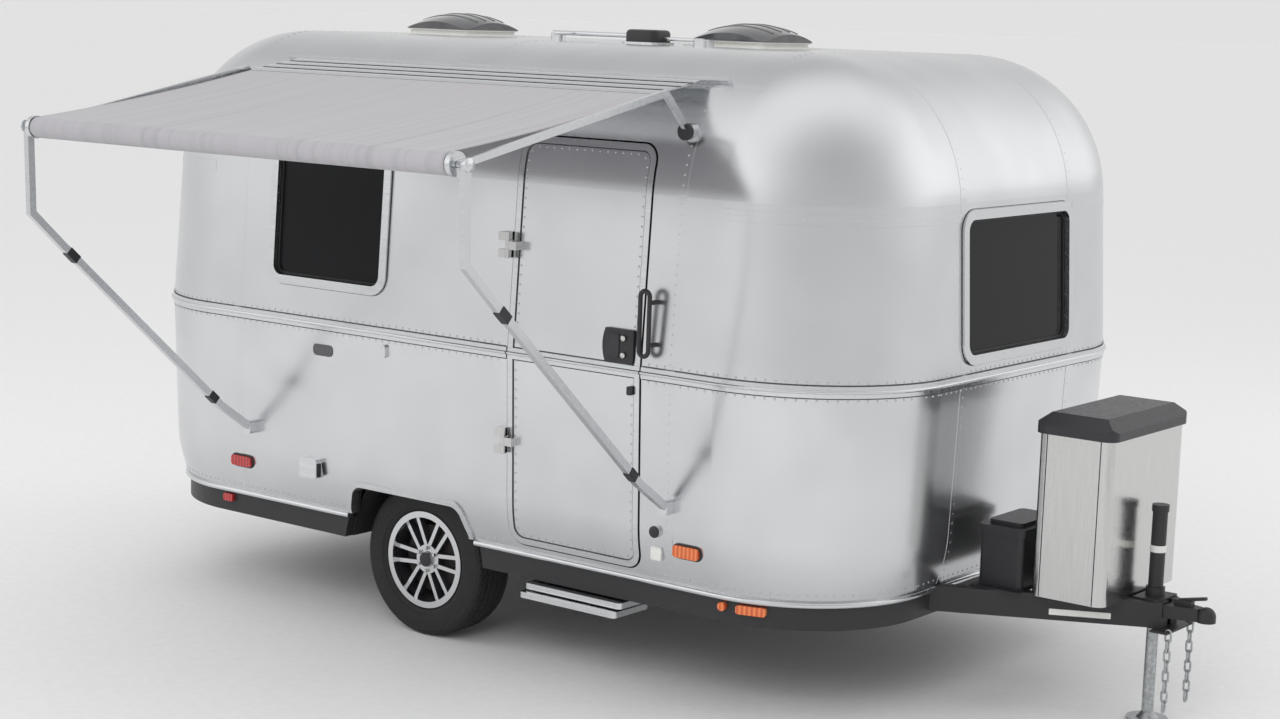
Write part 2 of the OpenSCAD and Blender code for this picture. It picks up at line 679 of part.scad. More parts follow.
// Wheels: outward is local Z
module at_wheel(side) translate([axle_x, side * wheel_y, tyre_r]) rotate([side < 0 ? 90 : -90, 0, 0]) children();
lip_r = rim_r + 18;
lip_t = 8;
barrel_t = 8;
rim_half = 84;
side_r = lip_r + 5;
shoulder_round = 36;
module tyre() color(black) rotate_extrude() {
    translate([(side_r + tyre_r) / 2, 0]) rounded(tyre_r - side_r, tyre_w, shoulder_round);
    translate([rim_r + 2 * seat, -rim_half + seat]) square([side_r - rim_r + shoulder_round, 2 * (rim_half - seat)]);
}
hub_r = 62;
face_z = 70;
face_t = 34;
spoke_w = 17;
spoke_hub = 17;
spoke_rim = 33;
cap_r = 36;
module rim() color(bright) difference() {
    union() {
        rotate_extrude() {
            translate([rim_r - barrel_t, -rim_half - lip_t]) square([barrel_t, 2 * (rim_half + lip_t)]);
            for (dir = [-1, 1]) translate([rim_r - barrel_t, dir * (rim_half + lip_t / 2) - lip_t / 2]) square([lip_r - rim_r + barrel_t, lip_t]);
        }
        translate([0, 0, face_z - face_t]) {
            cylinder(r = hub_r, h = face_t);
            for (i = [0:spoke_count - 1], dir = [-1, 1]) rotate(360 / spoke_count * i) linear_extrude(face_t)
                polygon([[0, dir * (spoke_hub - spoke_w / 2)], [rim_r - barrel_t / 2, dir * (spoke_rim - spoke_w / 2)],
                    [rim_r - barrel_t / 2, dir * (spoke_rim + spoke_w / 2)], [0, dir * (spoke_hub + spoke_w / 2)]]);
        }
        translate([0, 0, face_z]) cylinder(r1 = cap_r, r2 = cap_r - 6, h = 14);
    }
    translate([0, 0, -face_z]) cylinder(r = spindle_r + running, h = face_z + 26);
}
module drum() color(dark_steel) difference() {
    translate([0, 0, -drum_back]) cylinder(r = drum_r, h = drum_back + face_z - face_t);
    translate([0, 0, -face_z - far]) cylinder(r = spindle_r + running, h = 2 * far);
}
module tyre_right() at_wheel(-1) tyre();
module tyre_left() at_wheel(1) tyre();
module rim_right() at_wheel(-1) rim();
module rim_left() at_wheel(1) rim();
module drum_right() at_wheel(-1) drum();
module drum_left() at_wheel(1) drum();

// Stabilisers: four folded legs under the belly pan
stab_len = 520;
stab_w = 50;
stab_h = 46;
stab_y = 700;
module stabilisers() color(dark_steel) for (x = [rear_axis + 60, front_axis - stab_len - 60], side = [-1, 1])
    translate([x, side * stab_y - stab_w / 2, pan_low - stab_h]) difference() {
        cube([stab_len, stab_w, stab_h]);
        translate([60, 8, -1]) cube([stab_len - 120, stab_w - 16, stab_h - 7]);
    }

// Lid hinges: a knuckle on the lid turns on a pin between two ears on what carries it
barrel_r = 7;
barrel_len = 44;
barrel_pin_r = 4;
ear_t = 8;
lid_leaf_t = 5;
module along_y(r, length) rotate([90, 0, 0]) cylinder(r = r, h = length, center = true);
module lid_knuckle(back, rise) difference() {
    union() {
        along_y(barrel_r, barrel_len);
        translate([back - lid_leaf_t, -barrel_len / 2, 0]) cube([lid_leaf_t + 1, barrel_len, rise]);
    }
    along_y(barrel_pin_r + running, far);
}
module lid_ears(reach, drop) {
    for (dir = [-1, 1]) translate([0, dir * (barrel_len + ear_t + 2 * seat) / 2, 0]) {
        along_y(barrel_r, ear_t);
        translate([reach < 0 ? reach : -barrel_r, -ear_t / 2, -drop])
            cube([reach < 0 ? barrel_r - reach : barrel_r + reach, ear_t, drop]);
    }
    along_y(barrel_pin_r, barrel_len + 2 * ear_t);
}
// Roof vents: a flanged curb each, and a domed lid hinged on its rear edge
vent_hinge = [-vent_side / 2 - 9, vent_flange_t + 14];
vent_hinge_ys = [-80, 80];
vent_leaf_h = 18;
dome_r = 520;
lid_t = 6;
module vent_bases() color("white") for (s = vent_setbacks) translate([front_x - s, 0, roof_z]) difference() {
    union() {
        plate(vent_side + 2 * vent_flange, vent_side + 2 * vent_flange, vent_flange_t, 30);
        plate(vent_hole + 2 * vent_wall, vent_hole + 2 * vent_wall, vent_curb_h, 20);
        translate([0, 0, vent_curb_h - vent_lip_t])
            plate(vent_side - lid_t, vent_side - lid_t, vent_lip_t, vent_corner - lid_t / 2);
        for (y = vent_hinge_ys) translate([vent_hinge.x, y, vent_hinge.y]) lid_ears(barrel_r, vent_hinge.y - vent_flange_t);
    }
    translate([0, 0, -1]) plate(vent_hole, vent_hole, vent_curb_h + 2, 20);
}
module vent_lid(s) color(smoked) translate([front_x - s, 0, vent_low]) {
    difference() {
        intersection() {
            plate(vent_side, vent_side, vent_h, vent_corner);
            translate([0, 0, vent_h - dome_r]) sphere(dome_r);
        }
        intersection() {
            translate([0, 0, -1]) plate(vent_side - 2 * lid_t, vent_side - 2 * lid_t, vent_h, vent_corner - lid_t);
            translate([0, 0, vent_h - dome_r]) sphere(dome_r - lid_t);
        }
    }
    for (y = vent_hinge_ys) translate([vent_hinge.x, y, roof_z + vent_hinge.y - vent_low])
        lid_knuckle(-vent_side / 2 - vent_hinge.x, vent_leaf_h);
}
module vent_lid_front() vent_lid(vent_setbacks[0]);
module vent_lid_rear() vent_lid(vent_setbacks[1]);
// Folded aerial on the roof: a gear head on its base, the mast laid back on a saddle with its boom, a stay in front
aerial_x = -2500;
aerial_y = -350;
mast_len = 520;
mast_r = 10;
mast_z = 34;
boom_len = 280;
stay_len = 290;
stay_z = 26;
head_size = [150, 110, 58];
saddle_size = [60, 44];
pad_size = [70, 70, 30];
module aerial() color(bright) translate([aerial_x, aerial_y, roof_z]) {
    plate(head_size.x + 40, head_size.y + 40, mast_r, 30);
    plate(head_size.x, head_size.y, head_size.z, 24);
    translate([-mast_len, 0, mast_z]) rotate([0, 90, 0]) cylinder(r = mast_r, h = mast_len);
    translate([-mast_len + saddle_size.x / 2, 0, 0]) plate(saddle_size.x, saddle_size.y, mast_z, 14);
    translate([-mast_len + 2 * saddle_size.x, 0, mast_z]) along_y(mast_r - 3, boom_len);
    translate([0, 0, stay_z]) rotate([0, 90, 0]) cylinder(r = mast_r - 2, h = stay_len);
    translate([stay_len, 0, 0]) plate(pad_size.x, pad_size.y, pad_size.z, 16);
}

// Awning: arms in two planes, roller, rafters, slats and fabric
arm_front_x = front_x - awning_setback;
arm_xs = [arm_front_x, arm_front_x - awning_len];
awning_arm_w = 30;
awning_arm_t = 26;
foot_z = 800;
foot_out = 26;
rail_size = 22;
rail_at = [axis_y + (shoulder_r + rail_size / 2 + seat) * cos(seam_angle), shoulder_z + (shoulder_r + rail_size / 2 + seat) * sin(seam_angle)];
fabric_t = 4;
cap_t = 22;
knob_z = roof_z - 303;
elbow_out = 200;
elbow_up = 118;
// Points of an arm and a rafter in their plane: distance out from the middle, height
arm_path = [[skin_y(foot_z) + foot_out, foot_z], [skin_y(foot_z) + elbow_out, foot_z + elbow_up], [roller_y - 155, roller_z - 474], [roller_y - 10, roller_z - 340], [roller_y, roller_z]];
rafter_end = [axis_y + 684, roof_z - 159];
rafter_path = [[roller_y, roller_z], rafter_end, [skin_y(knob_z) + foot_out, knob_z]];
// A flat bar in a plane across the body, on the right-hand side
module in_arm_plane(x, t) translate([x - t / 2, 0, 0]) mirror([0, 1, 0]) rotate([90, 0, 90]) linear_extrude(t) children();
module awning_arms() color(bright) for (x = arm_xs) difference() {
    in_arm_plane(x, awning_arm_t) strip(arm_path, awning_arm_w);
    roller_axis(x) cylinder(r = axle_pin_r + seat, h = 2 * cap_t, center = true);
}
axle_pin_r = 8;
module roller_axis(x) translate([x, -roller_y, roller_z]) rotate([0, 90, 0]) children();
rafter_t = 18;
// A rafter lies just inside its arm
function rafter_x(i) = arm_xs[i] + (i == 0 ? -1 : 1) * ((awning_arm_t + rafter_t) / 2 + seat);
module awning_rafters() color(bright) for (i = [0, 1]) difference() {
    in_arm_plane(rafter_x(i), rafter_t) strip(rafter_path, awning_arm_w - 4);
    roller_axis(arm_xs[i]) cylinder(r = axle_pin_r + seat, h = 4 * awning_arm_t, center = true);
}
roller_x0 = arm_xs[1] + awning_arm_t / 2 + rafter_t + 2;
roller_x1 = arm_xs[0] - awning_arm_t / 2 - rafter_t - 2;
module awning_roller() color(bright) {
    roller_axis(roller_x0) cylinder(r = roller_r, h = roller_x1 - roller_x0);
    roller_axis(arm_xs[1] - awning_arm_t / 2) cylinder(r = axle_pin_r, h = awning_len + awning_arm_t);
    roller_axis(roller_x0) cylinder(r = roller_r + 6, h = cap_t);
    roller_axis(roller_x1 - cap_t) cylinder(r = roller_r + 6, h = cap_t);
}
foot_clip = [44, 60];
knob_clip = 60;
clip_round = 12;
clip_out = 18;
module awning_brackets() color(dark_steel) for (i = [0, 1]) {
    difference() {
        side_block(-1, arm_xs[i], foot_z, foot_out + clip_out) rounded(foot_clip.x, foot_clip.y, clip_round);
        in_arm_plane(arm_xs[i], awning_arm_t + 2 * seat) strip(arm_path, awning_arm_w + 2 * seat);
    }
    difference() {
        side_block(-1, rafter_x(i), knob_z, foot_out + clip_out) rounded(knob_clip, knob_clip, knob_clip / 2 - running);
        in_arm_plane(rafter_x(i), rafter_t + 2 * seat) strip(rafter_path, awning_arm_w - 4 + 2 * seat);
    }
}
module awning_rail() color(bright) translate([arm_xs[1] - 40, -rail_at.x, rail_at.y]) rotate([90 - seam_angle, 0, 0])
    translate([0, -rail_size / 2, -rail_size / 2]) cube([awning_len + 80, rail_size, rail_size]);
sheet_from = rail_at + [rail_size / sqrt(2) + seat + fabric_t / 2, 0];
sheet_lift = roller_r + seat + fabric_t / 2;
roller_way = [roller_y, roller_z] - sheet_from;
sheet_angle = atan2(roller_way.y, roller_way.x) + asin(sheet_lift / norm(roller_way));
sheet_len = sqrt(roller_way * roller_way - sheet_lift ^ 2);
slat_share = 0.22;
slat_count = 4;
slat_rise = 5;
sheet_x0 = roller_x0 + cap_t + 4;
sheet_w = roller_x1 - roller_x0 - 2 * cap_t - 8;
module on_sheet() translate([sheet_x0, 0, 0]) mirror([0, 1, 0]) rotate([90, 0, 90]) linear_extrude(sheet_w)
    translate(sheet_from) rotate(sheet_angle) children();
module awning_slats() color(bright) on_sheet() {
    slat = sheet_len * slat_share / slat_count;
    translate([0, -fabric_t / 2]) square([sheet_len * slat_share, fabric_t]);
    for (i = [0:slat_count - 1]) translate([(i + 0.5) * slat, fabric_t / 2]) intersection() {
        translate([0, -slat]) circle(slat + slat_rise);
        translate([-slat * 0.4, -fabric_t / 2]) square([slat * 0.8, fabric_t + slat_rise]);
    }
}
module awning_fabric() color("#b4b1b5") on_sheet()
    translate([sheet_len * slat_share + seat, -fabric_t / 2]) square([sheet_len * (1 - slat_share) - seat, fabric_t]);

// Gas locker on the tongue: steel cover, hinged lid and the two bottles inside
locker_x1 = -locker_setback;
locker_x = locker_x1 - locker_d / 2;
locker_low = frame_low + frame_h;
locker_t = 6;
locker_r = 40;
locker_base = 14;
locker_top = locker_low + locker_h;
module gas_locker() color(bright) translate([locker_x, 0, locker_low]) {
    for (y = lid_hinge_ys) translate([lid_hinge.x, y, lid_low + lid_hinge.y - locker_low])
        lid_ears(-locker_d / 2 - lid_hinge.x, barrel_r);
    difference() {
        plate(locker_d, locker_w, locker_h, locker_r);
        translate([0, 0, locker_base]) plate(locker_d - 2 * locker_t, locker_w - 2 * locker_t, locker_h, locker_r - locker_t);
    }
}
lid_lap = 14;
lid_hinge = [-locker_d / 2 - lid_lap - 8, -10];
lid_hinge_ys = [-200, 200];
lid_skirt = 34;
lid_rise = 46;
lid_wall = 5;
lid_low = locker_top - lid_skirt + seat;
lid_bevel = 52;
lid_ledge = 20;
lid_h = lid_skirt + lid_rise;
// Half width, at a height, of a line that leans in by lid_bevel between the skirt and the top
function lid_half(w, z) = w / 2 - lid_bevel * (z - lid_skirt) / lid_rise;
module lid_prism(w) rotate([90, 0, 0]) linear_extrude(far, center = true)
    polygon([[-lid_half(w, -1), -1], [lid_half(w, -1), -1], [lid_half(w, lid_h + 1), lid_h + 1], [-lid_half(w, lid_h + 1), lid_h + 1]]);
module lid_form(d, w, h, corner) intersection() {
    plate(d, w, h, corner);
    lid_prism(d);
    rotate([0, 0, 90]) lid_prism(w);
}
module gas_lid() color(black) translate([locker_x, 0, lid_low]) {
    difference() {
        lid_form(locker_d + 2 * lid_lap, locker_w + 2 * lid_lap, lid_h, locker_r + lid_lap);
        translate([0, 0, -1]) plate(locker_d + 2 * (lid_lap - lid_wall), locker_w + 2 * (lid_lap - lid_wall), lid_skirt + 1, locker_r + lid_lap - lid_wall);
        lid_form(locker_d - 2 * lid_ledge, locker_w - 2 * lid_ledge, lid_h - lid_wall, locker_r - lid_wall);
    }
    for (y = lid_hinge_ys) translate([lid_hinge.x, y, lid_hinge.y])
        lid_knuckle(-locker_d / 2 - lid_lap - lid_hinge.x, lid_skirt / 2 - lid_hinge.y);
}
bottle_r = 140;
bottle_h = 400;
bottle_y = 155;
module gas_bottles() color("white") for (side = [-1, 1]) translate([locker_x, side * bottle_y, locker_low + locker_base]) {
    cylinder(r = bottle_r - 30, h = 30);
    translate([0, 0, 30]) cylinder(r = bottle_r, h = bottle_h - 80);
    translate([0, 0, bottle_h - 50]) cylinder(r1 = bottle_r, r2 = bottle_r - 60, h = 50);
    translate([0, 0, bottle_h]) difference() {
        cylinder(r = 90, h = 120);
        translate([0, 0, 8]) cylinder(r = 84, h = 200);
    }
    cylinder(r = 24, h = bottle_h + 70);
}
// Battery box between the gas locker and the body, on a tray across both legs of the tongue
battery = [190, 330, 210];
battery_x = front_x + 40 + battery.x / 2;
battery_y = -150;
battery_tray = [210, 720, 6];
battery_lid = 34;
module battery_box() color(black) translate([battery_x, 0, locker_low]) {
    plate(battery_tray.x, battery_tray.y, battery_tray.z, 12);
    translate([0, battery_y, 0]) {
        plate(battery.x, battery.y, battery.z, 22);
        translate([0, 0, battery.z]) plate(battery.x + 14, battery.y + 14, battery_lid, 26);
        translate([0, 0, battery.z + battery_lid]) plate(battery.x - 40, battery.y - 60, battery_lid / 2, 22);
    }
}

// Lamps on the skin: [side, x behind the front panel, height, width, height of lens]
marker_size = [120, 46];
marker_z = 632;
amber_x = front_x - 727;
red_x = front_x - 3184;
lamp_proud = 18;
skirt_lamp_z = pan_top - 26;
skirt_r = sill_r - pan_inset;
skirt_y = axis_y + skirt_r;
skirt_lamp_h = 34;
module marker(side, x) side_block(side, x, marker_z, lamp_proud) rounded(marker_size.x, marker_size.y, 14);
module skirt_lamp(side, x, w, r) translate([x, side * (skirt_y + lamp_proud), skirt_lamp_z])
    rotate([side > 0 ? 90 : -90, 0, 0]) linear_extrude(lamp_proud - seat) rounded(w, skirt_lamp_h, r);
// A lamp on the round corner of the skirt, turned forward from the side by an angle
module corner_lamp(side, turn, w, r) translate([front_axis, side * axis_y, skirt_lamp_z]) difference() {
    rotate([90, 0, 90 + side * (90 - turn)]) translate([0, 0, skirt_r - lamp_proud])
        linear_extrude(2 * lamp_proud) rounded(w, skirt_lamp_h, r);
    cylinder(r = skirt_r + seat, h = far, center = true);
}
module amber_lamps() color(amber) for (side = [-1, 1]) {
    marker(side, amber_x);
    corner_lamp(side, 3.4, skirt_lamp_h, skirt_lamp_h / 2 - running);
    corner_lamp(side, 16, 120, 10);
}
tail_z = 760;
tail_y = 520;
module red_lamps() color(red) for (side = [-1, 1]) {
    marker(side, red_x);
    skirt_lamp(side, rear_axis + 60, 60, 10);
    difference() {
        translate([rear_axis - skin_r(tail_z) - lamp_proud, side * tail_y, tail_z]) rotate([90, 0, 90]) linear_extrude(lamp_proud + wall_t)
            rounded(130, 130, 64);
        end_shell(-1, -2 * wall_t, seat);
    }
}
// Small fittings on the right-hand wall
// Vent hood, latch and flap: [distance behind the front panel, height, width, own height, corner radius, stand-off]
fitting_table = [[2741, 667, 104, 84, 12, 34], [2310, 1226, 34, 56, 14, 14], [873, 603, 56, 56, 10, 9]];
// Round outlet: [distance behind the front panel, height, radius, stand-off]
outlet = [876, 690, 24, 12];
module wall_fittings() color(bright) {
    for (f = fitting_table) side_block(-1, front_x - f[0], f[1], f[5]) rounded(f[2], f[3], f[4]);
    side_block(-1, front_x - outlet[0], outlet[1], outlet[3]) circle(outlet[2]);
}
// Service hatches on the left-hand wall: [distance behind the front panel, height, width, hatch height]
hatch_table = [[1150, 800, 420, 320], [2750, 800, 260, 260], [3120, 860, 300, 340]];
hatch_proud = 10;
module hatches() color(silver) for (h = hatch_table)
    side_block(1, front_x - h[0], h[1], hatch_proud) rounded(h[2], h[3], 24);

// Sets a piece that was built from the ground up on the hitch ball's frame
module on_ball() translate([0, 0, -ball_z]) children();

on_ball() wall_right();
on_ball() wall_left();
on_ball() roof();
on_ball() front_panel();
on_ball() rear_panel();
on_ball() front_corners();
on_ball() rear_corners();
on_ball() floor();
on_ball() belly_pan();
on_ball() wheel_housings();
on_ball() sill_rail();
on_ball() arch_trims();
on_ball() belt_rail();
on_ball() window_frames();
on_ball() window_glass();
on_ball() door_panel();
on_ball() door_bead();
on_ball() door_hinges();
on_ball() hinge_plates();
on_ball() door_lock();
on_ball() grab_handle();
on_ball() entry_step();
on_ball() tongue_leg_right();
on_ball() tongue_leg_left();
on_ball() tongue_plates();
on_ball() coupler();
on_ball() jack_tube();
on_ball() jack_leg();
on_ball() safety_chains();
on_ball() axle();
on_ball() tyre_right();
on_ball() tyre_left();
on_ball() rim_right();
on_ball() rim_left();
on_ball() drum_right();
on_ball() drum_left();
on_ball() stabilisers();
on_ball() vent_bases();
on_ball() vent_lid_front();
on_ball() vent_lid_rear();
on_ball() aerial();
on_ball() awning_rail();
on_ball() awning_slats();
on_ball() awning_fabric();
on_ball() awning_roller();
on_ball() awning_arms();
on_ball() awning_rafters();
on_ball() awning_brackets();
on_ball() gas_locker();
on_ball() gas_lid();
on_ball() gas_bottles();
on_ball() battery_box();
on_ball() amber_lamps();
on_ball() red_lamps();
on_ball() wall_fittings();
on_ball() hatches();
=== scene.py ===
# %% [markdown]
# A travel caravan with a riveted aluminium body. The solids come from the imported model, in metres,
# with the origin on the hitch ball, X forward, Y to the left and Z up. This lesson dresses them:
# rivets and seams, tyre treads, awning cloth, small fittings, and a finish for every surface.

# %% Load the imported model
import math

import bpy
import numpy as np
from mathutils import Matrix


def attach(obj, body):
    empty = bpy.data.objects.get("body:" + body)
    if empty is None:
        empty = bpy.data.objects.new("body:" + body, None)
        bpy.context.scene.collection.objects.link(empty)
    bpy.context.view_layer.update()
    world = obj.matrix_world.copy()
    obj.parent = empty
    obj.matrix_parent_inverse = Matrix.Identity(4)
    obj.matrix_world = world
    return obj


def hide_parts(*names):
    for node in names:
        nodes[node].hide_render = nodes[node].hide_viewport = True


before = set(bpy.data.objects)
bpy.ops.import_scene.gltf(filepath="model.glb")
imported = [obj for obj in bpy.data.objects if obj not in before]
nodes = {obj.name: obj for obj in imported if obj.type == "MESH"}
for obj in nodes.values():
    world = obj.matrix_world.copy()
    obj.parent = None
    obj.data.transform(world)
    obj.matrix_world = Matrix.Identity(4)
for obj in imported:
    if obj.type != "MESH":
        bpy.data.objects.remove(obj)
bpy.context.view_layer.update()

# %% [markdown]
# The camera stands where the photograph was taken from. Its place and angles were solved from the
# lengths of the body, so only the numbers are needed here: position, yaw, pitch, roll and lens.

# %% Camera
CAMERA_AT = np.array([3.466, -8.149, 2.222])
YAW, PITCH, ROLL = np.radians([127.36, -8.59, 1.87])
LENS_MM = 65.03
GROUND = -0.445


def look_matrix(position, yaw, pitch, roll):
    """Columns are the camera's right, up and backward directions: the forward direction comes from
    yaw and pitch, right is level, and both right and up are then turned by the roll."""
    forward = np.array([math.cos(pitch) * math.cos(yaw), math.cos(pitch) * math.sin(yaw), math.sin(pitch)])
    level = np.array([math.sin(yaw), -math.cos(yaw), 0.0])
    upright = np.cross(level, forward)
    right = math.cos(roll) * level + math.sin(roll) * upright
    up = -math.sin(roll) * level + math.cos(roll) * upright
    matrix = np.eye(4)
    matrix[:3, :4] = np.column_stack([right, up, -forward, position])
    return Matrix(matrix.tolist())


camera_data = bpy.data.cameras.new("camera")
camera_data.lens = LENS_MM
camera_data.sensor_width = 36.0
camera_data.sensor_fit = "HORIZONTAL"
camera_data.clip_end = 1200.0
camera = bpy.data.objects.new("camera", camera_data)
bpy.context.scene.collection.objects.link(camera)
camera.matrix_world = look_matrix(CAMERA_AT, YAW, PITCH, ROLL)
bpy.context.scene.camera = camera
print("camera at", CAMERA_AT.tolist())

# %% [markdown]
# Every finish is a node material. One helper turns a hex colour into the linear numbers that a shader
# wants, one adds a node with its settings and links, and the others are built from these.

# %% Helpers for finishes
MM = 0.001
ROUGH_SWING = 0.06


def linear(hex_colour):
    """An sRGB hex colour as linear red, green, blue and an alpha of one."""
    parts = np.array([int(hex_colour[i:i + 2], 16) for i in (1, 3, 5)]) / 255.0
    low = parts / 12.92
    high = ((parts + 0.055) / 1.055) ** 2.4
    return tuple(np.where(parts <= 0.04045, low, high)) + (1.0,)


def put(tree, kind, inputs=None, **settings):
    """Adds one node: settings are its own properties, inputs are values or sockets to link."""
    made = tree.nodes.new("ShaderNode" + kind)
    for key, value in settings.items():
        setattr(made, key, value)
    for key, value in (inputs or {}).items():
        if isinstance(value, bpy.types.NodeSocket):
            tree.links.new(value, made.inputs[key])
        else:
            made.inputs[key].default_value = value
    return made


def finish(name, **sockets):
    """A new material whose principled shader has the given sockets; returns material, tree, shader."""
    material = bpy.data.materials.new(name)
    material.use_nodes = True
    tree = material.node_tree
    shader = tree.nodes["Principled BSDF"]
    for key, value in sockets.items():
        shader.inputs[key.replace("_", " ")].default_value = value
    return material, tree, shader


def stretched(tree, scale):
    """Object coordinates multiplied by a scale per metre along each axis."""
    place = put(tree, "TexCoord")
    return put(tree, "Mapping", {"Vector": place.outputs["Object"], "Scale": scale}).outputs["Vector"]


def speckle(tree, size_mm, detail=3.0, along=(1.0, 1.0, 1.0)):
    """Noise whose lumps are about size_mm wide, drawn out along an axis where along is small."""
    scale = tuple(a / (size_mm * MM) for a in along)
    noise = put(tree, "TexNoise", {"Vector": stretched(tree, scale), "Scale": 1.0, "Detail": detail})
    return noise.outputs["Fac"]


def band_scale(width_mm):
    """Scale at which a wave texture repeats every width_mm; its own unit is twenty radians to the metre."""
    return 2 * math.pi / (width_mm * MM) / 20.0


def spread(tree, factor, low, high):
    """Maps the middle of a noise, 0.25 to 0.75, onto the range low to high with soft ends."""
    return put(tree, "MapRange", {"Value": factor, "From Min": 0.25, "From Max": 0.75, "To Min": low,
                                  "To Max": high}, interpolation_type="SMOOTHSTEP").outputs["Result"]


def tint(tree, shader, factor, dark, light):
    """Mixes the base colour between two hex colours by a factor."""
    mix = put(tree, "Mix", {"Factor": factor}, data_type="RGBA")
    mix.inputs["A"].default_value = linear(dark)
    mix.inputs["B"].default_value = linear(light)
    tree.links.new(mix.outputs["Result"], shader.inputs["Base Color"])


def emboss(tree, shader, height, depth_mm, strength=1.0):
    """Bumps the surface by a height signal whose full swing is depth_mm."""
    bump = put(tree, "Bump", {"Height": height, "Distance": depth_mm * MM, "Strength": strength})
    tree.links.new(bump.outputs["Normal"], shader.inputs["Normal"])


def plain(name, dark, light, rough, size_mm, depth_mm, metallic=0.0, along=(1, 1, 1), **sockets):
    """A finish with a mottled colour, a roughness that wanders and a fine relief, all of one lump size."""
    material, tree, shader = finish(name, Metallic=metallic, **sockets)
    grain = speckle(tree, size_mm, along=along)
    tint(tree, shader, spread(tree, grain, 0.0, 1.0), dark, light)
    cloud = speckle(tree, size_mm * 6)
    tree.links.new(spread(tree, cloud, rough - ROUGH_SWING, rough + ROUGH_SWING), shader.inputs["Roughness"])
    emboss(tree, shader, grain, depth_mm)
    return material


print("helpers ready")

# %% [markdown]
# The shell is rolled aluminium sheet. Mill rolls leave fine lines along the sheet, and a thin sheet on
# ribs is never quite flat, so reflections wander. Three noises give that: lines, cloudy roughness and a
# slow waviness of about half a metre. The lines are drawn coarser than real ones so that they show.

# %% Metals
def rolled_sheet(name, dark, light, rough):
    """Aluminium sheet: mill lines along X, cloudy roughness, and half-metre waves in the surface."""
    material, tree, shader = finish(name, Metallic=1.0)
    lines = speckle(tree, 2.5, 4.0, along=(0.012, 0.25, 1.0))
    cloud = speckle(tree, 300.0, 1.0)
    waves = speckle(tree, 480.0, 0.0, along=(1.0, 1.0, 0.45))
    tint(tree, shader, spread(tree, cloud, 0.0, 1.0), dark, light)
    tree.links.new(spread(tree, cloud, rough + 0.012, rough - 0.012), shader.inputs["Roughness"])
    soft = put(tree, "Bump", {"Height": waves, "Distance": 2.2 * MM, "Strength": 0.07})
    fine = put(tree, "Bump", {"Height": lines, "Distance": 0.02 * MM, "Strength": 0.35,
                              "Normal": soft.outputs["Normal"]})
    tree.links.new(fine.outputs["Normal"], shader.inputs["Normal"])
    return material


aluminium_sheet = rolled_sheet("rolled aluminium sheet", "#d3d4d6", "#d9dadc", 0.24)
extrusion = plain("bright anodised aluminium extrusion", "#cfd1d3", "#dcdee0", 0.22, 3.0, 0.01,
                  metallic=1.0, along=(0.02, 1, 1))
stainless = plain("brushed stainless steel", "#c2c2c1", "#d2d2d1", 0.20, 1.6, 0.015,
                  metallic=1.0, along=(1, 1, 0.01))
zinc = plain("hot-dip galvanised steel", "#9da0a2", "#bfc2c4", 0.42, 14.0, 0.03, metallic=0.9)
dark_plate = plain("dark nickel plate", "#5c5c5f", "#737376", 0.34, 3.0, 0.02, metallic=0.8)
chassis_paint = plain("satin black chassis paint", "#262628", "#323234", 0.46, 1.2, 0.02,
                      Specular_IOR_Level=0.4)
drum_iron = plain("cast iron brake drum", "#2c2a29", "#3b3836", 0.62, 2.0, 0.06, metallic=0.5)
print("metals ready")

# %% [markdown]
# An alloy wheel is cast, painted dark, and then its face is turned bright on a lathe. The lathe only
# reaches what lies furthest out, so the finish asks how far out a point is and switches there.

# %% Wheel finish
WHEEL = np.array([-3.059, 0.9775, -0.117])
FACE_OUT = WHEEL[1] + 0.070
TOOL_DEPTH, GROOVE_MM = 1.5 * MM, 1.6


def turned_alloy():
    """Bright turned metal with tool rings past the face plane, dark pocket paint elsewhere."""
    material, tree, shader = finish("diamond turned cast alloy", Roughness=0.24)
    place = put(tree, "TexCoord").outputs["Object"]
    axes = put(tree, "SeparateXYZ", {"Vector": place})
    out = put(tree, "Math", {0: axes.outputs["Y"]}, operation="ABSOLUTE").outputs["Value"]
    face = put(tree, "Math", {0: out, 1: FACE_OUT - TOOL_DEPTH}, operation="GREATER_THAN").outputs["Value"]
    tint(tree, shader, face, "#4a4b4e", "#d5d6d8")
    tree.links.new(put(tree, "MapRange", {"Value": face, "To Min": 0.55, "To Max": 1.0}).outputs["Result"],
                   shader.inputs["Metallic"])
    centre = put(tree, "Mapping", {"Vector": place, "Location": (-WHEEL[0], 0.0, -WHEEL[2])})
    flat = put(tree, "VectorMath", {0: centre.outputs["Vector"], 1: (1.0, 0.0, 1.0)}, operation="MULTIPLY")
    radius = put(tree, "VectorMath", {0: flat.outputs["Vector"]}, operation="LENGTH").outputs["Value"]
    turns = put(tree, "Math", {0: radius, 1: 2 * math.pi / (GROOVE_MM * MM)}, operation="MULTIPLY")
    grooves = put(tree, "Math", {0: turns.outputs["Value"]}, operation="SINE").outputs["Value"]
    emboss(tree, shader, grooves, 0.02, 0.4)
    return material


wheel_alloy = turned_alloy()
print("wheel face at", FACE_OUT)

# %% [markdown]
# The rest are plastics, rubber, glass and cloth. Each takes its colour and gloss from the real one:
# ABS mouldings have a fine leather grain, rubber is matt, the tinted glass is dark and very smooth.

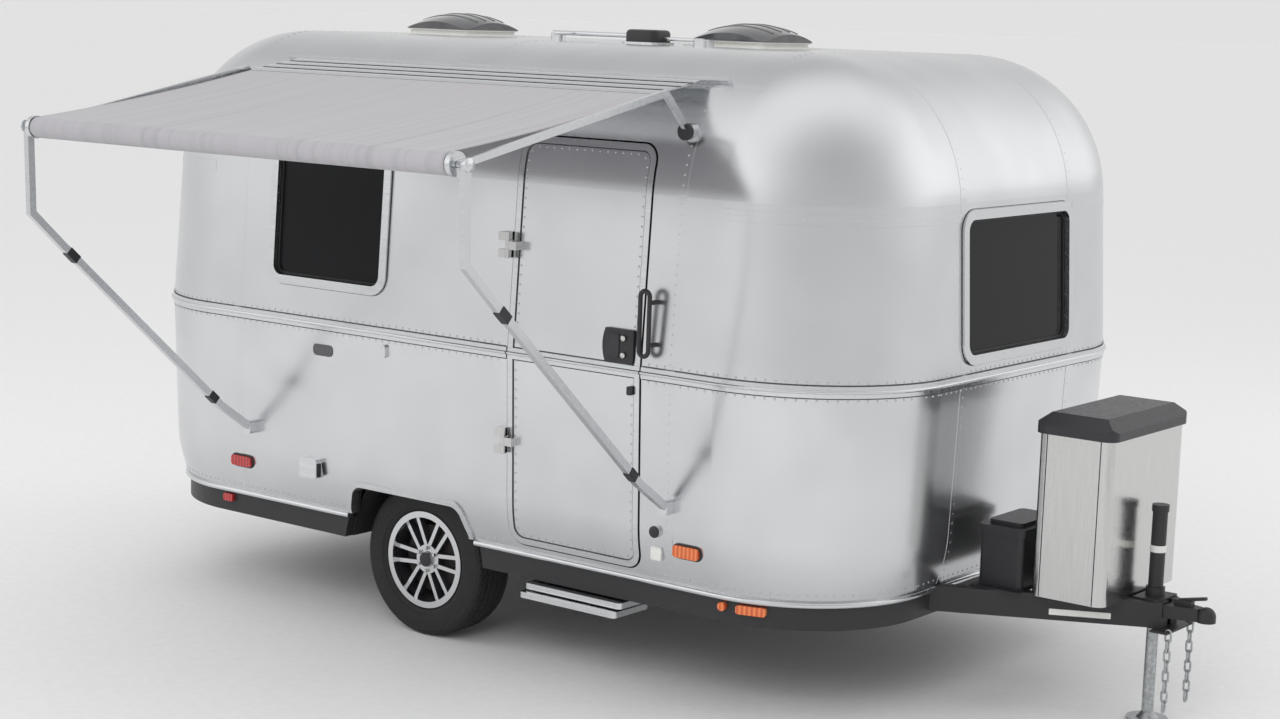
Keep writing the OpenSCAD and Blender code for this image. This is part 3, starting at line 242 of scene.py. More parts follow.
# %% Plastics, rubber, glass and cloth
black_abs = plain("grained black ABS", "#1d1d20", "#2a2a2d", 0.44, 1.5, 0.05)
lid_abs = plain("grained black lid ABS", "#242428", "#303034", 0.38, 2.2, 0.05)
white_abs = plain("white ABS", "#d9d9d5", "#e6e6e2", 0.34, 6.0, 0.02)
# Real rubber for the window beads and hatch seals; the same dark finish also paints shadow strips at the
# locker's corners and between the awning slats.
rubber_and_painted_shade = plain("EPDM rubber seal and painted shade", "#151516", "#1f1f20", 0.6, 2.0, 0.03)
# Grey strips that paint the shadow lines along the edges of raised trims.
shade_line_grey = plain("grey painted shadow line", "#36373a", "#46474a", 0.5, 6.0, 0.02)
tyre_rubber = plain("tyre tread rubber", "#161617", "#232324", 0.72, 2.0, 0.06)
bottle_enamel = plain("white steel bottle enamel", "#dddddb", "#e9e9e7", 0.3, 8.0, 0.01)
vinyl_floor = plain("grey vinyl floor", "#7d766d", "#948d83", 0.5, 30.0, 0.02, along=(0.1, 1, 1))
tinted_glass = plain("tinted window glass", "#141517", "#18191b", 0.10, 900.0, 0.01,
                     Specular_IOR_Level=0.16)
smoked_dome = plain("smoked polycarbonate dome", "#3a3b3e", "#505155", 0.14, 60.0, 0.01, Coat_Weight=0.9)
FLUTE_MM = 6.0 * math.pi


def lens(name, deep, pale):
    """Moulded lens: fluted inside, so the colour runs in upright bands, drawn wide enough to show."""
    material, tree, shader = finish(name, Roughness=0.16, Coat_Weight=0.5, Subsurface_Weight=0.15)
    level = stretched(tree, (1.0, 1.0, 0.0))
    flutes = put(tree, "TexWave", {"Vector": level, "Scale": band_scale(FLUTE_MM), "Distortion": 0.0},
                 bands_direction="X").outputs["Fac"]
    tint(tree, shader, flutes, deep, pale)
    emboss(tree, shader, flutes, 0.4, 0.5)
    return material


def woven(name, thread_mm, dark, light):
    """Woven acrylic: warp and weft waves at the thread spacing, drawn coarse enough to show."""
    material, tree, shader = finish(name, Roughness=0.85, Sheen_Weight=0.2)
    uv = put(tree, "TexCoord").outputs["UV"]
    wave = {"Vector": uv, "Scale": band_scale(thread_mm), "Distortion": 0.6, "Detail": 1.0}
    warp, weft = [put(tree, "TexWave", wave, bands_direction=d).outputs["Fac"] for d in "XY"]
    weave = put(tree, "Math", {0: warp, 1: weft}, operation="ADD").outputs["Value"]
    drawn = put(tree, "Mapping", {"Vector": uv, "Scale": (30.0, 0.4, 1.0)}).outputs["Vector"]
    stripe = put(tree, "TexNoise", {"Vector": drawn, "Scale": 1.0, "Detail": 2.0}).outputs["Fac"]
    faint = put(tree, "Math", {0: weave, 1: 0.25}, operation="MULTIPLY").outputs["Value"]
    tone = put(tree, "Math", {0: faint, 1: stripe}, operation="ADD").outputs["Value"]
    tint(tree, shader, spread(tree, tone, -0.1, 0.75), dark, light)
    emboss(tree, shader, weave, 0.35, 0.5)
    return material


awning_cloth = woven("woven acrylic awning cloth", 5.0, "#959398", "#b6b4b8")
amber_lens = lens("amber acrylic lens", "#c9521c", "#e9854a")
red_lens = lens("red acrylic lens", "#8f1519", "#c8383c")
print("plastics ready")

# %% [markdown]
# Every CAD node now gets its finish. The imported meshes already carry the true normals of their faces, so
# rounded parts shade smoothly and nothing but the material slot has to change.

# %% Dress the CAD nodes
FINISH_OF = {
    aluminium_sheet: ["wall_right", "wall_left", "roof", "front_panel", "rear_panel", "front_corners",
                      "rear_corners", "door_panel", "hatches"],
    extrusion: ["sill_rail", "arch_trims", "belt_rail", "window_frames", "door_bead", "wall_fittings",
                "awning_rail", "awning_slats", "awning_roller", "awning_arms", "awning_rafters",
                "awning_brackets", "aerial", "entry_step"],
    stainless: ["door_hinges", "gas_locker", "hinge_plates"],
    zinc: ["jack_leg", "safety_chains"],
    chassis_paint: ["belly_pan", "wheel_housings", "grab_handle", "tongue_leg_right", "tongue_leg_left",
                    "tongue_plates", "coupler", "axle", "stabilisers", "jack_tube"],
    drum_iron: ["drum_right", "drum_left"],
    wheel_alloy: ["rim_right", "rim_left"],
    black_abs: ["door_lock", "battery_box"],
    lid_abs: ["gas_lid"],
    white_abs: ["vent_bases"],
    bottle_enamel: ["gas_bottles"],
    vinyl_floor: ["floor"],
    tinted_glass: ["window_glass"],
    smoked_dome: ["vent_lid_front", "vent_lid_rear"],
    amber_lens: ["amber_lamps"],
    red_lens: ["red_lamps"],
}
for material, names in FINISH_OF.items():
    for name in names:
        thing = nodes[name]
        thing.data.materials.clear()
        thing.data.materials.append(material)
print("dressed", sum(len(names) for names in FINISH_OF.values()), "nodes")

# %% [markdown]
# The shell's section is one curve: an arc tucks under, two straight runs meet at the belt, and a longer
# arc turns over into the roof. It is tabled once by its length from the sill, and everything laid on the skin
# reads it.

# %% The shell's section
CORNER_R, AXIS_Y = 0.620, 0.599
FRONT_AXIS, REAR_AXIS = -1.480, -4.240
SILL_Z, BELT_Z, ROOF_Z = 0.490, 1.300, 2.525
SHOULDER_R, TUCK_R, TUCK_Z = 0.580, 0.600, 0.720
SHOULDER_Z = ROOF_Z - SHOULDER_R
SEAM = math.radians(52.0)
END_AXIS = {1: FRONT_AXIS, -1: REAR_AXIS}


def lean(rise, arc):
    """Angle from upright of a line through the belt point that touches an arc on the corner axis."""
    return math.acos(arc / math.hypot(CORNER_R, rise)) - math.atan2(rise, CORNER_R)


UPPER = lean(SHOULDER_Z - BELT_Z, SHOULDER_R)
LOWER = lean(BELT_Z - TUCK_Z, TUCK_R)


def arc_rows(radius, middle, angle):
    """Distance out, height and outward normal along an arc about the corner axis."""
    out, up = np.cos(angle), np.sin(angle)
    return np.stack([radius * out, middle + radius * up, out, up])


def table_section():
    """Distance from the corner axis, height and outward normal along the section, from sill to roof."""
    low = np.linspace(-math.asin((TUCK_Z - SILL_Z) / TUCK_R), -LOWER, 200)
    high = np.linspace(UPPER, math.pi / 2, 400)
    belt_low = np.array([[CORNER_R], [BELT_Z], [math.cos(LOWER)], [-math.sin(LOWER)]])
    belt_high = np.array([[CORNER_R], [BELT_Z + 1e-6], [math.cos(UPPER)], [math.sin(UPPER)]])
    tuck, turn = arc_rows(TUCK_R, TUCK_Z, low), arc_rows(SHOULDER_R, SHOULDER_Z, high)
    rows = np.concatenate([tuck, belt_low, belt_high, turn], axis=1)
    steps = np.hypot(np.diff(rows[0]), np.diff(rows[1]))
    return np.concatenate([[0.0], np.cumsum(steps)]), rows


LENGTH, ROWS = table_section()
TOP = LENGTH[-1]


def section(s):
    """Reads radius, height, and the normal's outward and upward parts at lengths s."""
    return [np.interp(s, LENGTH, row) for row in ROWS]


def length_at(z):
    """Length along the section at a height above the ground."""
    return np.interp(z, ROWS[1], LENGTH)


SEAM_S = length_at(SHOULDER_Z + SHOULDER_R * math.sin(SEAM))


def on_side(side, x, s, proud=0.0):
    """Points and normals on a side wall: x is free, the section gives distance out and height."""
    r, z, out, up = section(s)
    x, r, z, out, up = np.broadcast_arrays(x, r, z, out, up)
    normal = np.stack([np.zeros_like(r), side * out, up], axis=-1)
    return np.stack([x, side * (AXIS_Y + r), z + GROUND], axis=-1) + proud * normal, normal


def on_end(end, y, s, proud=0.0):
    """Points and normals on the front (1) or rear (-1) panel."""
    r, z, out, up = section(s)
    y, r, z, out, up = np.broadcast_arrays(y, r, z, out, up)
    normal = np.stack([end * out, np.zeros_like(r), up], axis=-1)
    return np.stack([END_AXIS[end] + end * r, y, z + GROUND], axis=-1) + proud * normal, normal


def on_corner(end, side, turn, s, proud=0.0):
    """Points and normals on a corner, turned from the end (0) to the side (a quarter turn)."""
    r, z, out, up = section(s)
    turn, r, z, out, up = np.broadcast_arrays(turn, r, z, out, up)
    normal = np.stack([end * out * np.cos(turn), side * out * np.sin(turn), up], axis=-1)
    place = [END_AXIS[end] + end * r * np.cos(turn), side * (AXIS_Y + r * np.sin(turn)), z + GROUND]
    return np.stack(place, axis=-1) + proud * normal, normal


print("section length", round(TOP, 3), "seam at", round(float(SEAM_S), 3))

# %% [markdown]
# New pieces are surfaces worked out as whole arrays. This cell turns an array of points and a list of faces
# into an object at the origin, and holds the outlines of the openings as distances in the wall's plane.

# %% Pieces and outlines
SHARP = math.radians(32.0)
UP, FORWARD, TO_RIGHT, TO_LEFT = (0.0, 0.0, 1.0), (1.0, 0.0, 0.0), (0.0, -1.0, 0.0), (0.0, 1.0, 0.0)
OPEN, TUBE, TORUS = ((0, 0), (0, 0)), ((0, 0), (0, 1)), ((0, 1), (0, 1))


def unit(v):
    """Vectors of length one along v."""
    return v / np.linalg.norm(v, axis=-1, keepdims=True)


def grid_faces(rows, columns, wrap=OPEN):
    """Quads of a grid by index: TUBE closes every row, and TORUS also joins the last row to the first."""
    index = np.pad(np.arange(rows * columns).reshape(rows, columns), wrap, mode="wrap")
    return np.stack([index[:-1, :-1], index[:-1, 1:], index[1:, 1:], index[1:, :-1]], axis=-1).reshape(-1, 4)


def piece(name, points, faces, material, body, sharp=SHARP):
    """A mesh object at the origin that rides on a body and takes its finish as its material."""
    mesh = bpy.data.meshes.new(name)
    mesh.from_pydata(np.asarray(points).reshape(-1, 3).tolist(), [], [list(f) for f in faces])
    mesh.polygons.foreach_set("use_smooth", np.ones(len(mesh.polygons), bool))
    mesh.set_sharp_from_angle(angle=sharp)
    mesh.materials.append(material)
    thing = bpy.data.objects.new(name, mesh)
    bpy.context.scene.collection.objects.link(thing)
    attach(thing, body)
    return thing


def rounded_box(u, v, centre, half, radius):
    """Signed distance to a rectangle with round corners, negative inside."""
    a = np.abs(u - centre[0]) - half[0] + radius
    b = np.abs(v - centre[1]) - half[1] + radius
    return np.hypot(np.maximum(a, 0), np.maximum(b, 0)) + np.minimum(np.maximum(a, b), 0) - radius


DOOR_XS, DOOR_ZS = (-2.487, -1.822), (0.520, 2.165)
DOOR_MID = (sum(DOOR_XS) / 2, sum(DOOR_ZS) / 2)
DOOR_HALF = ((DOOR_XS[1] - DOOR_XS[0]) / 2, (DOOR_ZS[1] - DOOR_ZS[0]) / 2)
DOOR_R = 0.070
WINDOW_HALF, WINDOW_Z, WINDOW_R = (0.313, 0.275), 1.765, 0.045
RIGHT_WINDOWS, LEFT_WINDOWS = [-3.524], [-3.524, -2.106]
END_HALF, END_Z = (0.410, 0.260), 1.655
VENT_X, VENT_HALF = (-2.210, -3.860), 0.219
HATCHES = ((-2.010, 0.800, 0.420, 0.320), (-3.610, 0.800, 0.260, 0.260), (-3.980, 0.860, 0.300, 0.340))
HATCH_R, VENT_R = 0.024, 0.030
ARCH_Z, ARCH_HALF, ARCH_R = 0.45, (0.35, 0.17), 0.06


def arch(x, z):
    """Distance to a wheel arch, taken as a rounded rectangle."""
    return rounded_box(x, z, (WHEEL[0], ARCH_Z), ARCH_HALF, ARCH_R)


def window_holes(x, z, middles):
    """Distance to the nearest window of a wall."""
    return np.min([rounded_box(x, z, (m, WINDOW_Z), WINDOW_HALF, WINDOW_R) for m in middles], axis=0)


def right_holes(x, z):
    """Distance to the nearest opening of the right-hand wall: door, window or arch."""
    door = rounded_box(x, z, DOOR_MID, DOOR_HALF, DOOR_R)
    return np.minimum(np.minimum(door, arch(x, z)), window_holes(x, z, RIGHT_WINDOWS))


def left_holes(x, z):
    """Distance to the nearest opening or hatch of the left-hand wall."""
    hatch = np.min([rounded_box(x, z, h[:2], (h[2] / 2, h[3] / 2), HATCH_R) for h in HATCHES], axis=0)
    return np.minimum(np.minimum(arch(x, z), hatch), window_holes(x, z, LEFT_WINDOWS))


def end_hole(y, z):
    """Distance to the window of an end panel."""
    return rounded_box(y, z, (0.0, END_Z), END_HALF, WINDOW_R)


def roof_hole(x, y):
    """Distance to the nearest vent."""
    return np.min([rounded_box(x, y, (m, 0.0), (VENT_HALF, VENT_HALF), VENT_R) for m in VENT_X], axis=0)


print("outlines ready")

# %% [markdown]
# Rivets hold every seam. Each is a low dome of seventeen faces, so two thousand of them stay light. A row
# is a list of points on the skin with their normals, a rivet's pitch apart.

# %% Rivets
RIVET_R, RIVET_H, PITCH_M = 0.0052, 0.0022, 0.038
WAIST = 0.7


def domes(points, normals, around=8):
    """Low domes on a list of points: a flat foot, a ring at seven tenths, and a tip, all along the normal."""
    aside = np.where(np.abs(normals[:, 2:3]) < 0.9, [UP], [FORWARD])
    first = unit(np.cross(aside, normals))
    second = np.cross(normals, first)
    angle = np.linspace(0, 2 * math.pi, around, endpoint=False)
    ring = np.cos(angle)[None, :, None] * first[:, None] + np.sin(angle)[None, :, None] * second[:, None]
    base = points[:, None] + RIVET_R * ring
    upper = points[:, None] + WAIST * RIVET_R * ring + WAIST * RIVET_H * normals[:, None]
    tip = (points + RIVET_H * normals)[:, None]
    verts = np.concatenate([base, upper, tip], axis=1)
    i = np.arange(around)
    j = (i + 1) % around
    quads = np.stack([i, j, j + around, i + around], axis=1)
    tips = np.stack([i + around, j + around, np.full(around, 2 * around)], axis=1)
    start = (np.arange(len(points)) * (2 * around + 1))[:, None, None]
    feet = i[::-1] + start[:, 0]
    faces = [*(quads[None] + start).reshape(-1, 4), *(tips[None] + start).reshape(-1, 3), *feet]
    return verts.reshape(-1, 3), faces


def spaced(low, high, pitch=PITCH_M):
    """Evenly spaced values from low to high, about one pitch apart."""
    return np.linspace(low, high, max(2, int(round((high - low) / pitch)) + 1))


def rivet_piece(name, rows, body, holes=None):
    """Gathers rows of (points, normals) into one piece, without those that fall in a hole."""
    points = np.concatenate([row[0].reshape(-1, 3) for row in rows])
    normals = np.concatenate([row[1].reshape(-1, 3) for row in rows])
    if holes is not None:
        keep = holes(points)
        points, normals = points[keep], normals[keep]
    piece(name, *domes(points, normals), extrusion, body, sharp=math.pi)
    print(name, len(points), "rivets")


SEAM_XS = (-1.680, -4.060)
SILL_ROW, BELT_ROW, ROOF_ROW = 0.026, 0.034, 0.030
BELT_S, SILL_S = length_at(BELT_Z), length_at(SILL_Z + SILL_ROW)
LEVELS = [SILL_S, BELT_S - BELT_ROW, BELT_S + BELT_ROW, SEAM_S - ROOF_ROW]
PANEL_Y, DOME_Z = 0.433, 1.930
RIB_XS = (-1.500, -2.900, -4.220)
CORNER_END, CORNER_STEP = 0.03, 0.062
TOP_GAP, DOME_GAP = 0.02, 0.05
WALL_CLEAR, FRAME_CLEAR, VENT_CLEAR = 0.030, 0.045, 0.012


def side_rows(side):
    """Upright seams at the ends of the flat sheet, and level rows at sill, belt and roof seam."""
    upright = [on_side(side, x, spaced(SILL_S, SEAM_S - ROOF_ROW)) for x in SEAM_XS]
    level = [on_side(side, spaced(REAR_AXIS, FRONT_AXIS), s) for s in LEVELS]
    return upright + level


def end_rows(end):
    """Seams beside the end panel, level rows round the corners, and the ring where the dome starts."""
    rows = [on_end(end, side * PANEL_Y, spaced(SILL_S, TOP - TOP_GAP)) for side in (-1, 1)]
    turns = spaced(CORNER_END, math.pi / 2 - CORNER_END, CORNER_STEP)
    for s in LEVELS[:3]:
        rows.append(on_end(end, spaced(-AXIS_Y, AXIS_Y), s))
        rows += [on_corner(end, side, turns, s) for side in (-1, 1)]
    ring = length_at(DOME_Z)
    for side in (-1, 1):
        rows.append(on_end(end, side * spaced(PANEL_Y + PITCH_M, AXIS_Y), ring))
        rows.append(on_corner(end, side, turns, ring))
        rows.append(on_corner(end, side, math.pi / 2, spaced(SEAM_S, TOP - DOME_GAP)))
    return rows


def clear_of(distance, axes, margin):
    """A test that keeps points at least a margin outside a hole."""
    return lambda p: distance(p[:, axes[0]], p[:, axes[1]] - (GROUND if axes[1] == 2 else 0.0)) > margin


rivet_piece("rivets_right", side_rows(-1), "caravan", clear_of(right_holes, (0, 2), WALL_CLEAR))
rivet_piece("rivets_left", side_rows(1), "caravan", clear_of(left_holes, (0, 2), FRAME_CLEAR))
rivet_piece("rivets_front", end_rows(1), "caravan", clear_of(end_hole, (1, 2), FRAME_CLEAR))
rivet_piece("rivets_rear", end_rows(-1), "caravan", clear_of(end_hole, (1, 2), FRAME_CLEAR))


def roof_rows():
    """Rows along both sides of the roof sheet and across it at each rib."""
    rows = [on_side(side, spaced(REAR_AXIS, FRONT_AXIS), SEAM_S + ROOF_ROW) for side in (-1, 1)]
    across = spaced(-AXIS_Y, AXIS_Y)
    for x in RIB_XS:
        flat = np.stack([np.full_like(across, x), across, np.full_like(across, ROOF_Z + GROUND)], axis=-1)
        rows.append((flat, np.tile(UP, (len(across), 1))))
        rows += [on_side(side, x, spaced(SEAM_S + DOME_GAP, TOP - TOP_GAP)) for side in (-1, 1)]
    return rows


rivet_piece("rivets_roof", roof_rows(), "caravan", clear_of(roof_hole, (0, 1), VENT_CLEAR))

# %% [markdown]
# The tyre is one surface of revolution whose tread is pressed into it: round grooves run all the way
# about, and slanted cuts cross the shoulders. Radius is a function of the angle and of the place across.

# %% Tyres
TYRE_R, TREAD_HALF, TREAD_FROM = 0.328, 0.0870, 0.31
CROWN, WORN, EDGE = 0.004, 0.001, 0.0002
GROOVES = ((0.016, 0.0042), (0.047, 0.0045))
GROOVE_DEEP, CUT_DEEP, SIPE_DEEP = 0.0075, 0.0065, 0.004
LUGS, SLANT, CUT_FROM, SIPE_TO = 64, 4.0, 0.052, 0.044


def tyre_profile():
    """Closed profile of (place across, radius): bead, bulging sidewall, shoulder, flat tread, and back."""
    wall = np.array([[0.083, 0.1905], [0.084, 0.2125], [0.0915, 0.2160], [0.0985, 0.2300], [0.0990, 0.2330],
                     [0.1015, 0.2345], [0.1022, 0.2500], [0.1024, 0.2680], [0.1010, 0.2850], [0.0990, 0.2990],
                     [0.0995, 0.3010], [0.0960, 0.3110], [0.0915, 0.3185]])
    tread = np.linspace(TREAD_HALF, -TREAD_HALF, 75)
    crown = TYRE_R - CROWN * (tread / TREAD_HALF) ** 2 - WORN
    return np.concatenate([wall, np.stack([tread, crown], axis=1), wall[::-1] * [-1, 1]])


def tread_depth(across, angle):
    """Depth of the tread: four round grooves, staggered sipes between, slanted cuts on the shoulders."""
    depth = np.zeros(np.broadcast(across, angle).shape)
    for groove, wide in GROOVES:
        depth = np.maximum(depth, GROOVE_DEEP * (np.abs(np.abs(across) - groove) < wide))
    pitch = 2 * math.pi / LUGS
    slant = np.mod(angle + across * SLANT, pitch) / pitch
    shoulder = (np.abs(across) > CUT_FROM) & (np.abs(across) < TREAD_HALF + EDGE) & (slant < 0.22)
    sipe = (np.abs(across) < SIPE_TO) & (np.mod(slant + 0.5 * (across > 0), 1.0) < 0.10)
    return np.maximum(depth, np.maximum(CUT_DEEP * shoulder, SIPE_DEEP * sipe))


def tyre(name, side, node, body):
    """Turns the profile about the axle; the tread depth is taken off the radius."""
    profile = tyre_profile()
    angle = np.linspace(0, 2 * math.pi, 640, endpoint=False)
    across, turn = np.meshgrid(profile[:, 0], angle)
    radius = np.broadcast_to(profile[:, 1], across.shape)
    on_tread = (np.abs(across) < TREAD_HALF + EDGE) & (radius > TREAD_FROM)
    radius = radius - np.where(on_tread, tread_depth(across, turn), 0.0)
    place = [WHEEL[0] + radius * np.cos(turn), side * (WHEEL[1] + across), WHEEL[2] + radius * np.sin(turn)]
    faces = grid_faces(*across.shape, TORUS)
    made = piece(name, np.stack(place, -1), faces if side < 0 else faces[:, ::-1], tyre_rubber, body)
    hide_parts(node)
    print(name, len(faces), "faces")


tyre("tread_right", -1, "tyre_right", "wheel_right")
tyre("tread_left", 1, "tyre_left", "wheel_left")

# %% [markdown]
# Small fittings are plates, turned shapes and strips. They could be single cubes and cylinders, but edges on
# real ones are rounded or bevelled, so three makers do it: a plate whose outline shrinks level by level, a
# profile carried round an axis, and a strip carried along a path on the skin.

# %% Makers of small fittings
LEAST_R = 0.0005


def joined(parts):
    """Joins (points, faces) pairs into one pair, with the faces numbered on."""
    starts = np.cumsum([0] + [len(points) for points, _ in parts])
    faces = [[i + start for i in face] for (_, some), start in zip(parts, starts) for face in some]
    return np.concatenate([points for points, _ in parts]), faces


def stacked(rings):
    """Closed rings as a solid: quads between them and a cap on each end."""
    rows, count = rings.shape[:2]
    last = (rows - 1) * count
    caps = [list(range(count))[::-1], list(range(last, last + count))]
    return rings.reshape(-1, 3), grid_faces(rows, count, TUBE).tolist() + caps


def round_outline(wide, high, radius, steps=5):
    """A rectangle with round corners: a quarter circle about each corner's centre, in order."""
    turn = (np.linspace(0, math.pi / 2, steps) + np.arange(4)[:, None] * math.pi / 2).ravel()
    sign = np.repeat([[1, 1], [-1, 1], [-1, -1], [1, -1]], steps, axis=0)
    middle = sign * [wide / 2 - radius, high / 2 - radius]
    return middle + radius * np.stack([np.cos(turn), np.sin(turn)], axis=1)


def tile(place, out, up, size, radius, levels):
    """A plate on a surface: its outline is drawn in by the inset of each level and lifted by its height."""
    out = unit(np.array(out, float))
    right = unit(np.cross(up, out))
    top = np.cross(out, right)
    lines = np.stack([round_outline(size[0] - 2 * inset, size[1] - 2 * inset, max(radius - inset, LEAST_R))
                      for inset, _ in levels])
    lift = np.array([h for _, h in levels])[:, None, None]
    return stacked(np.array(place) + lines[..., :1] * right + lines[..., 1:] * top + lift * out)


def turned(place, axis, profile, around=24):
    """A turned shape: pairs of radius and height are carried round an axis."""
    axis = unit(np.array(axis, float))
    aside = UP if abs(axis[2]) < 0.9 else FORWARD
    first = unit(np.cross(aside, axis))
    second = np.cross(axis, first)
    angle = np.linspace(0, 2 * math.pi, around, endpoint=False)[:, None]
    ring = np.cos(angle) * first + np.sin(angle) * second
    profile = np.array(profile)[:, :, None, None]
    return stacked(np.array(place) + profile[:, 0] * ring + profile[:, 1] * axis)


def carried(points, normals, profile, closed=False):
    """A strip: the profile's (across, proud) points are set square to the path at each of its points."""
    along = np.roll(points, -1, 0) - np.roll(points, 1, 0) if closed else np.gradient(points, axis=0)
    side = unit(np.cross(normals, along))
    profile = np.array(profile)
    rings = points[:, None] + profile[:, :1] * side[:, None] + profile[:, 1:] * normals[:, None]
    if not closed:
        return stacked(rings)
    return rings.reshape(-1, 3), grid_faces(*rings.shape[:2], TORUS).tolist()


def flat_bar(wide, thick, sunk=0.0005):
    """Profile of a flat bar with bevelled upper edges, its underside just under the surface."""
    bevel = min(thick, wide / 4)
    return [(wide / 2, -sunk), (wide / 2 - bevel, thick), (-wide / 2 + bevel, thick), (-wide / 2, -sunk)]


def run_along(line):
    """Length along a line of points, from its first point."""
    return np.concatenate([[0.0], np.cumsum(np.hypot(*np.diff(line, axis=0).T))])


def even_outline(centre, half, radius, pitch, grow=0.0):
    """Points one pitch apart along a round-cornered rectangle, grown outwards all round."""
    line = round_outline(2 * (half[0] + grow), 2 * (half[1] + grow), radius + grow, 9)
    line = np.concatenate([line, line[:1]])
    run = run_along(line)
    count = round(run[-1] / pitch)
    at = np.arange(count) * run[-1] / count
    return np.array(centre) + np.stack([np.interp(at, run, axis) for axis in line.T], axis=1)


def laid(surface, which, line, proud=0.0):
    """Points and normals of an outline, given across and by height, laid on a skin."""
    return surface(which, line[:, 0], length_at(line[:, 1]), proud)


def fit_out(name, parts, material, body="caravan"):
    """Makes one piece of several small parts."""
    points, faces = joined(parts)
    piece(name, points, faces, material, body)
    print(name, len(parts), "parts,", len(faces), "faces")


print("makers ready")

# %% [markdown]
# Where two sheets meet, one laps over the other under the rivets. A flat bar, under a millimetre thick,
# follows each seam on the skin and stops where it meets a window.

# %% Seam laps
LAP = flat_bar(0.046, 0.0009)
LAP_PAST, LAP_CLEAR = 0.02, 0.040


def runs(points, normals, keep):
    """Splits a path where it crosses an opening, and gives the stretches that are left."""
    cuts = np.flatnonzero(np.diff(keep.astype(int))) + 1
    split = zip(np.split(points, cuts), np.split(normals, cuts), np.split(keep, cuts))
    return [(p, n) for p, n, k in split if k[0] and len(p) > 2]


def side_laps(side):
    """The two upright laps of a side wall."""
    s = np.linspace(SILL_S - LAP_PAST, SEAM_S - 0.012, 60)
    return [on_side(side, x, s) for x in SEAM_XS]


def end_laps(end):
    """The laps beside an end panel, and the ring where the dome starts."""
    laps = []
    s = np.linspace(SILL_S - LAP_PAST, TOP - 0.005, 110)
    for side in (-1, 1):
        points, normals = on_end(end, side * PANEL_Y, s)
        laps += runs(points, normals, end_hole(points[:, 1], points[:, 2] - GROUND) > LAP_CLEAR)
        ring = length_at(DOME_Z)
        flat = on_end(end, side * np.linspace(PANEL_Y + LAP_PAST, AXIS_Y, 8)[:-1], ring)
        bend = on_corner(end, side, np.linspace(0, math.pi / 2, 30), ring)
        laps.append(tuple(np.concatenate(pair) for pair in zip(flat, bend)))
    return laps


ALL_LAPS = side_laps(-1) + side_laps(1) + end_laps(1) + end_laps(-1)
fit_out("seam_laps", [carried(p, n, LAP) for p, n in ALL_LAPS], aluminium_sheet)

# %% [markdown]
# Each window is sealed to its frame by a black rubber bead that lies on the glass. The door's skin is riveted
# inside its own trim, and those rivets swing with the door.

# %% Window beads and door rivets
GLASS_BACK, BEAD_IN, STRIP_STEP = 0.016, 0.0063, 0.014
DOOR_INSET, DOOR_ROW_R = 0.040, 0.085
BEAD = [(0.0060, -0.0005), (0.0052, 0.0050), (0.0, 0.0068), (-0.0052, 0.0050), (-0.0060, -0.0005)]


def window_line(window, grow, proud, profile):
    """A strip along a window's edge: the outline is grown, laid on the skin and lifted or sunk."""
    surface, which, centre, half = window
    line = even_outline(centre, half, WINDOW_R, STRIP_STEP, grow)
    return carried(*laid(surface, which, line, proud), profile, closed=True)


ALL_WINDOWS = [(on_side, -1, (x, WINDOW_Z), WINDOW_HALF) for x in RIGHT_WINDOWS]
ALL_WINDOWS += [(on_side, 1, (x, WINDOW_Z), WINDOW_HALF) for x in LEFT_WINDOWS]
ALL_WINDOWS += [(on_end, end, (0.0, END_Z), END_HALF) for end in (-1, 1)]
BEADS = [window_line(window, -BEAD_IN, -GLASS_BACK, BEAD) for window in ALL_WINDOWS]
fit_out("window_beads", BEADS, rubber_and_painted_shade)
door_line = even_outline(DOOR_MID, DOOR_HALF, DOOR_ROW_R, PITCH_M, -DOOR_INSET)
rivet_piece("rivets_door", [laid(on_side, -1, door_line)], "door")

# %% [markdown]
# A fine grey line of painted shadow runs along both edges of the belt rail, round each window frame and
# inside the door's trim, where raised trim meets the skin. It could be painted on by a material, but a thin
# strip on the skin also catches light, and the door takes its share along.

# %% Painted shadow lines
# Profiles of the thin grey strips that paint the shadow lines.
SHADE_LINE, FRAME_SHADE_LINE = flat_bar(0.0055, 0.0016), flat_bar(0.0034, 0.0014)
BELT_EDGE, TRIM_EDGE, FRAME_EDGE, DOOR_CLEAR = 0.0248, 0.0288, 0.0406, 0.010


def belt_path(s):
    """Once round the body at length s of the section, from the door's front edge to its rear edge."""
    front, rear = DOOR_XS[1] + DOOR_CLEAR, DOOR_XS[0] - DOOR_CLEAR
    turn = np.linspace(0.0, math.pi / 2, 40)
    across = np.linspace(-AXIS_Y, AXIS_Y, 30)[1:-1]
    stretches = [on_side(-1, np.linspace(front, FRONT_AXIS, 12)[:-1], s), on_corner(1, -1, turn[::-1], s),
                 on_end(1, across, s), on_corner(1, 1, turn, s),
                 on_side(1, np.linspace(FRONT_AXIS, REAR_AXIS, 60)[1:-1], s), on_corner(-1, 1, turn[::-1], s),
                 on_end(-1, across[::-1], s), on_corner(-1, -1, turn, s),
                 on_side(-1, np.linspace(REAR_AXIS, rear, 40)[1:], s)]
    return [np.concatenate(pair) for pair in zip(*stretches)]


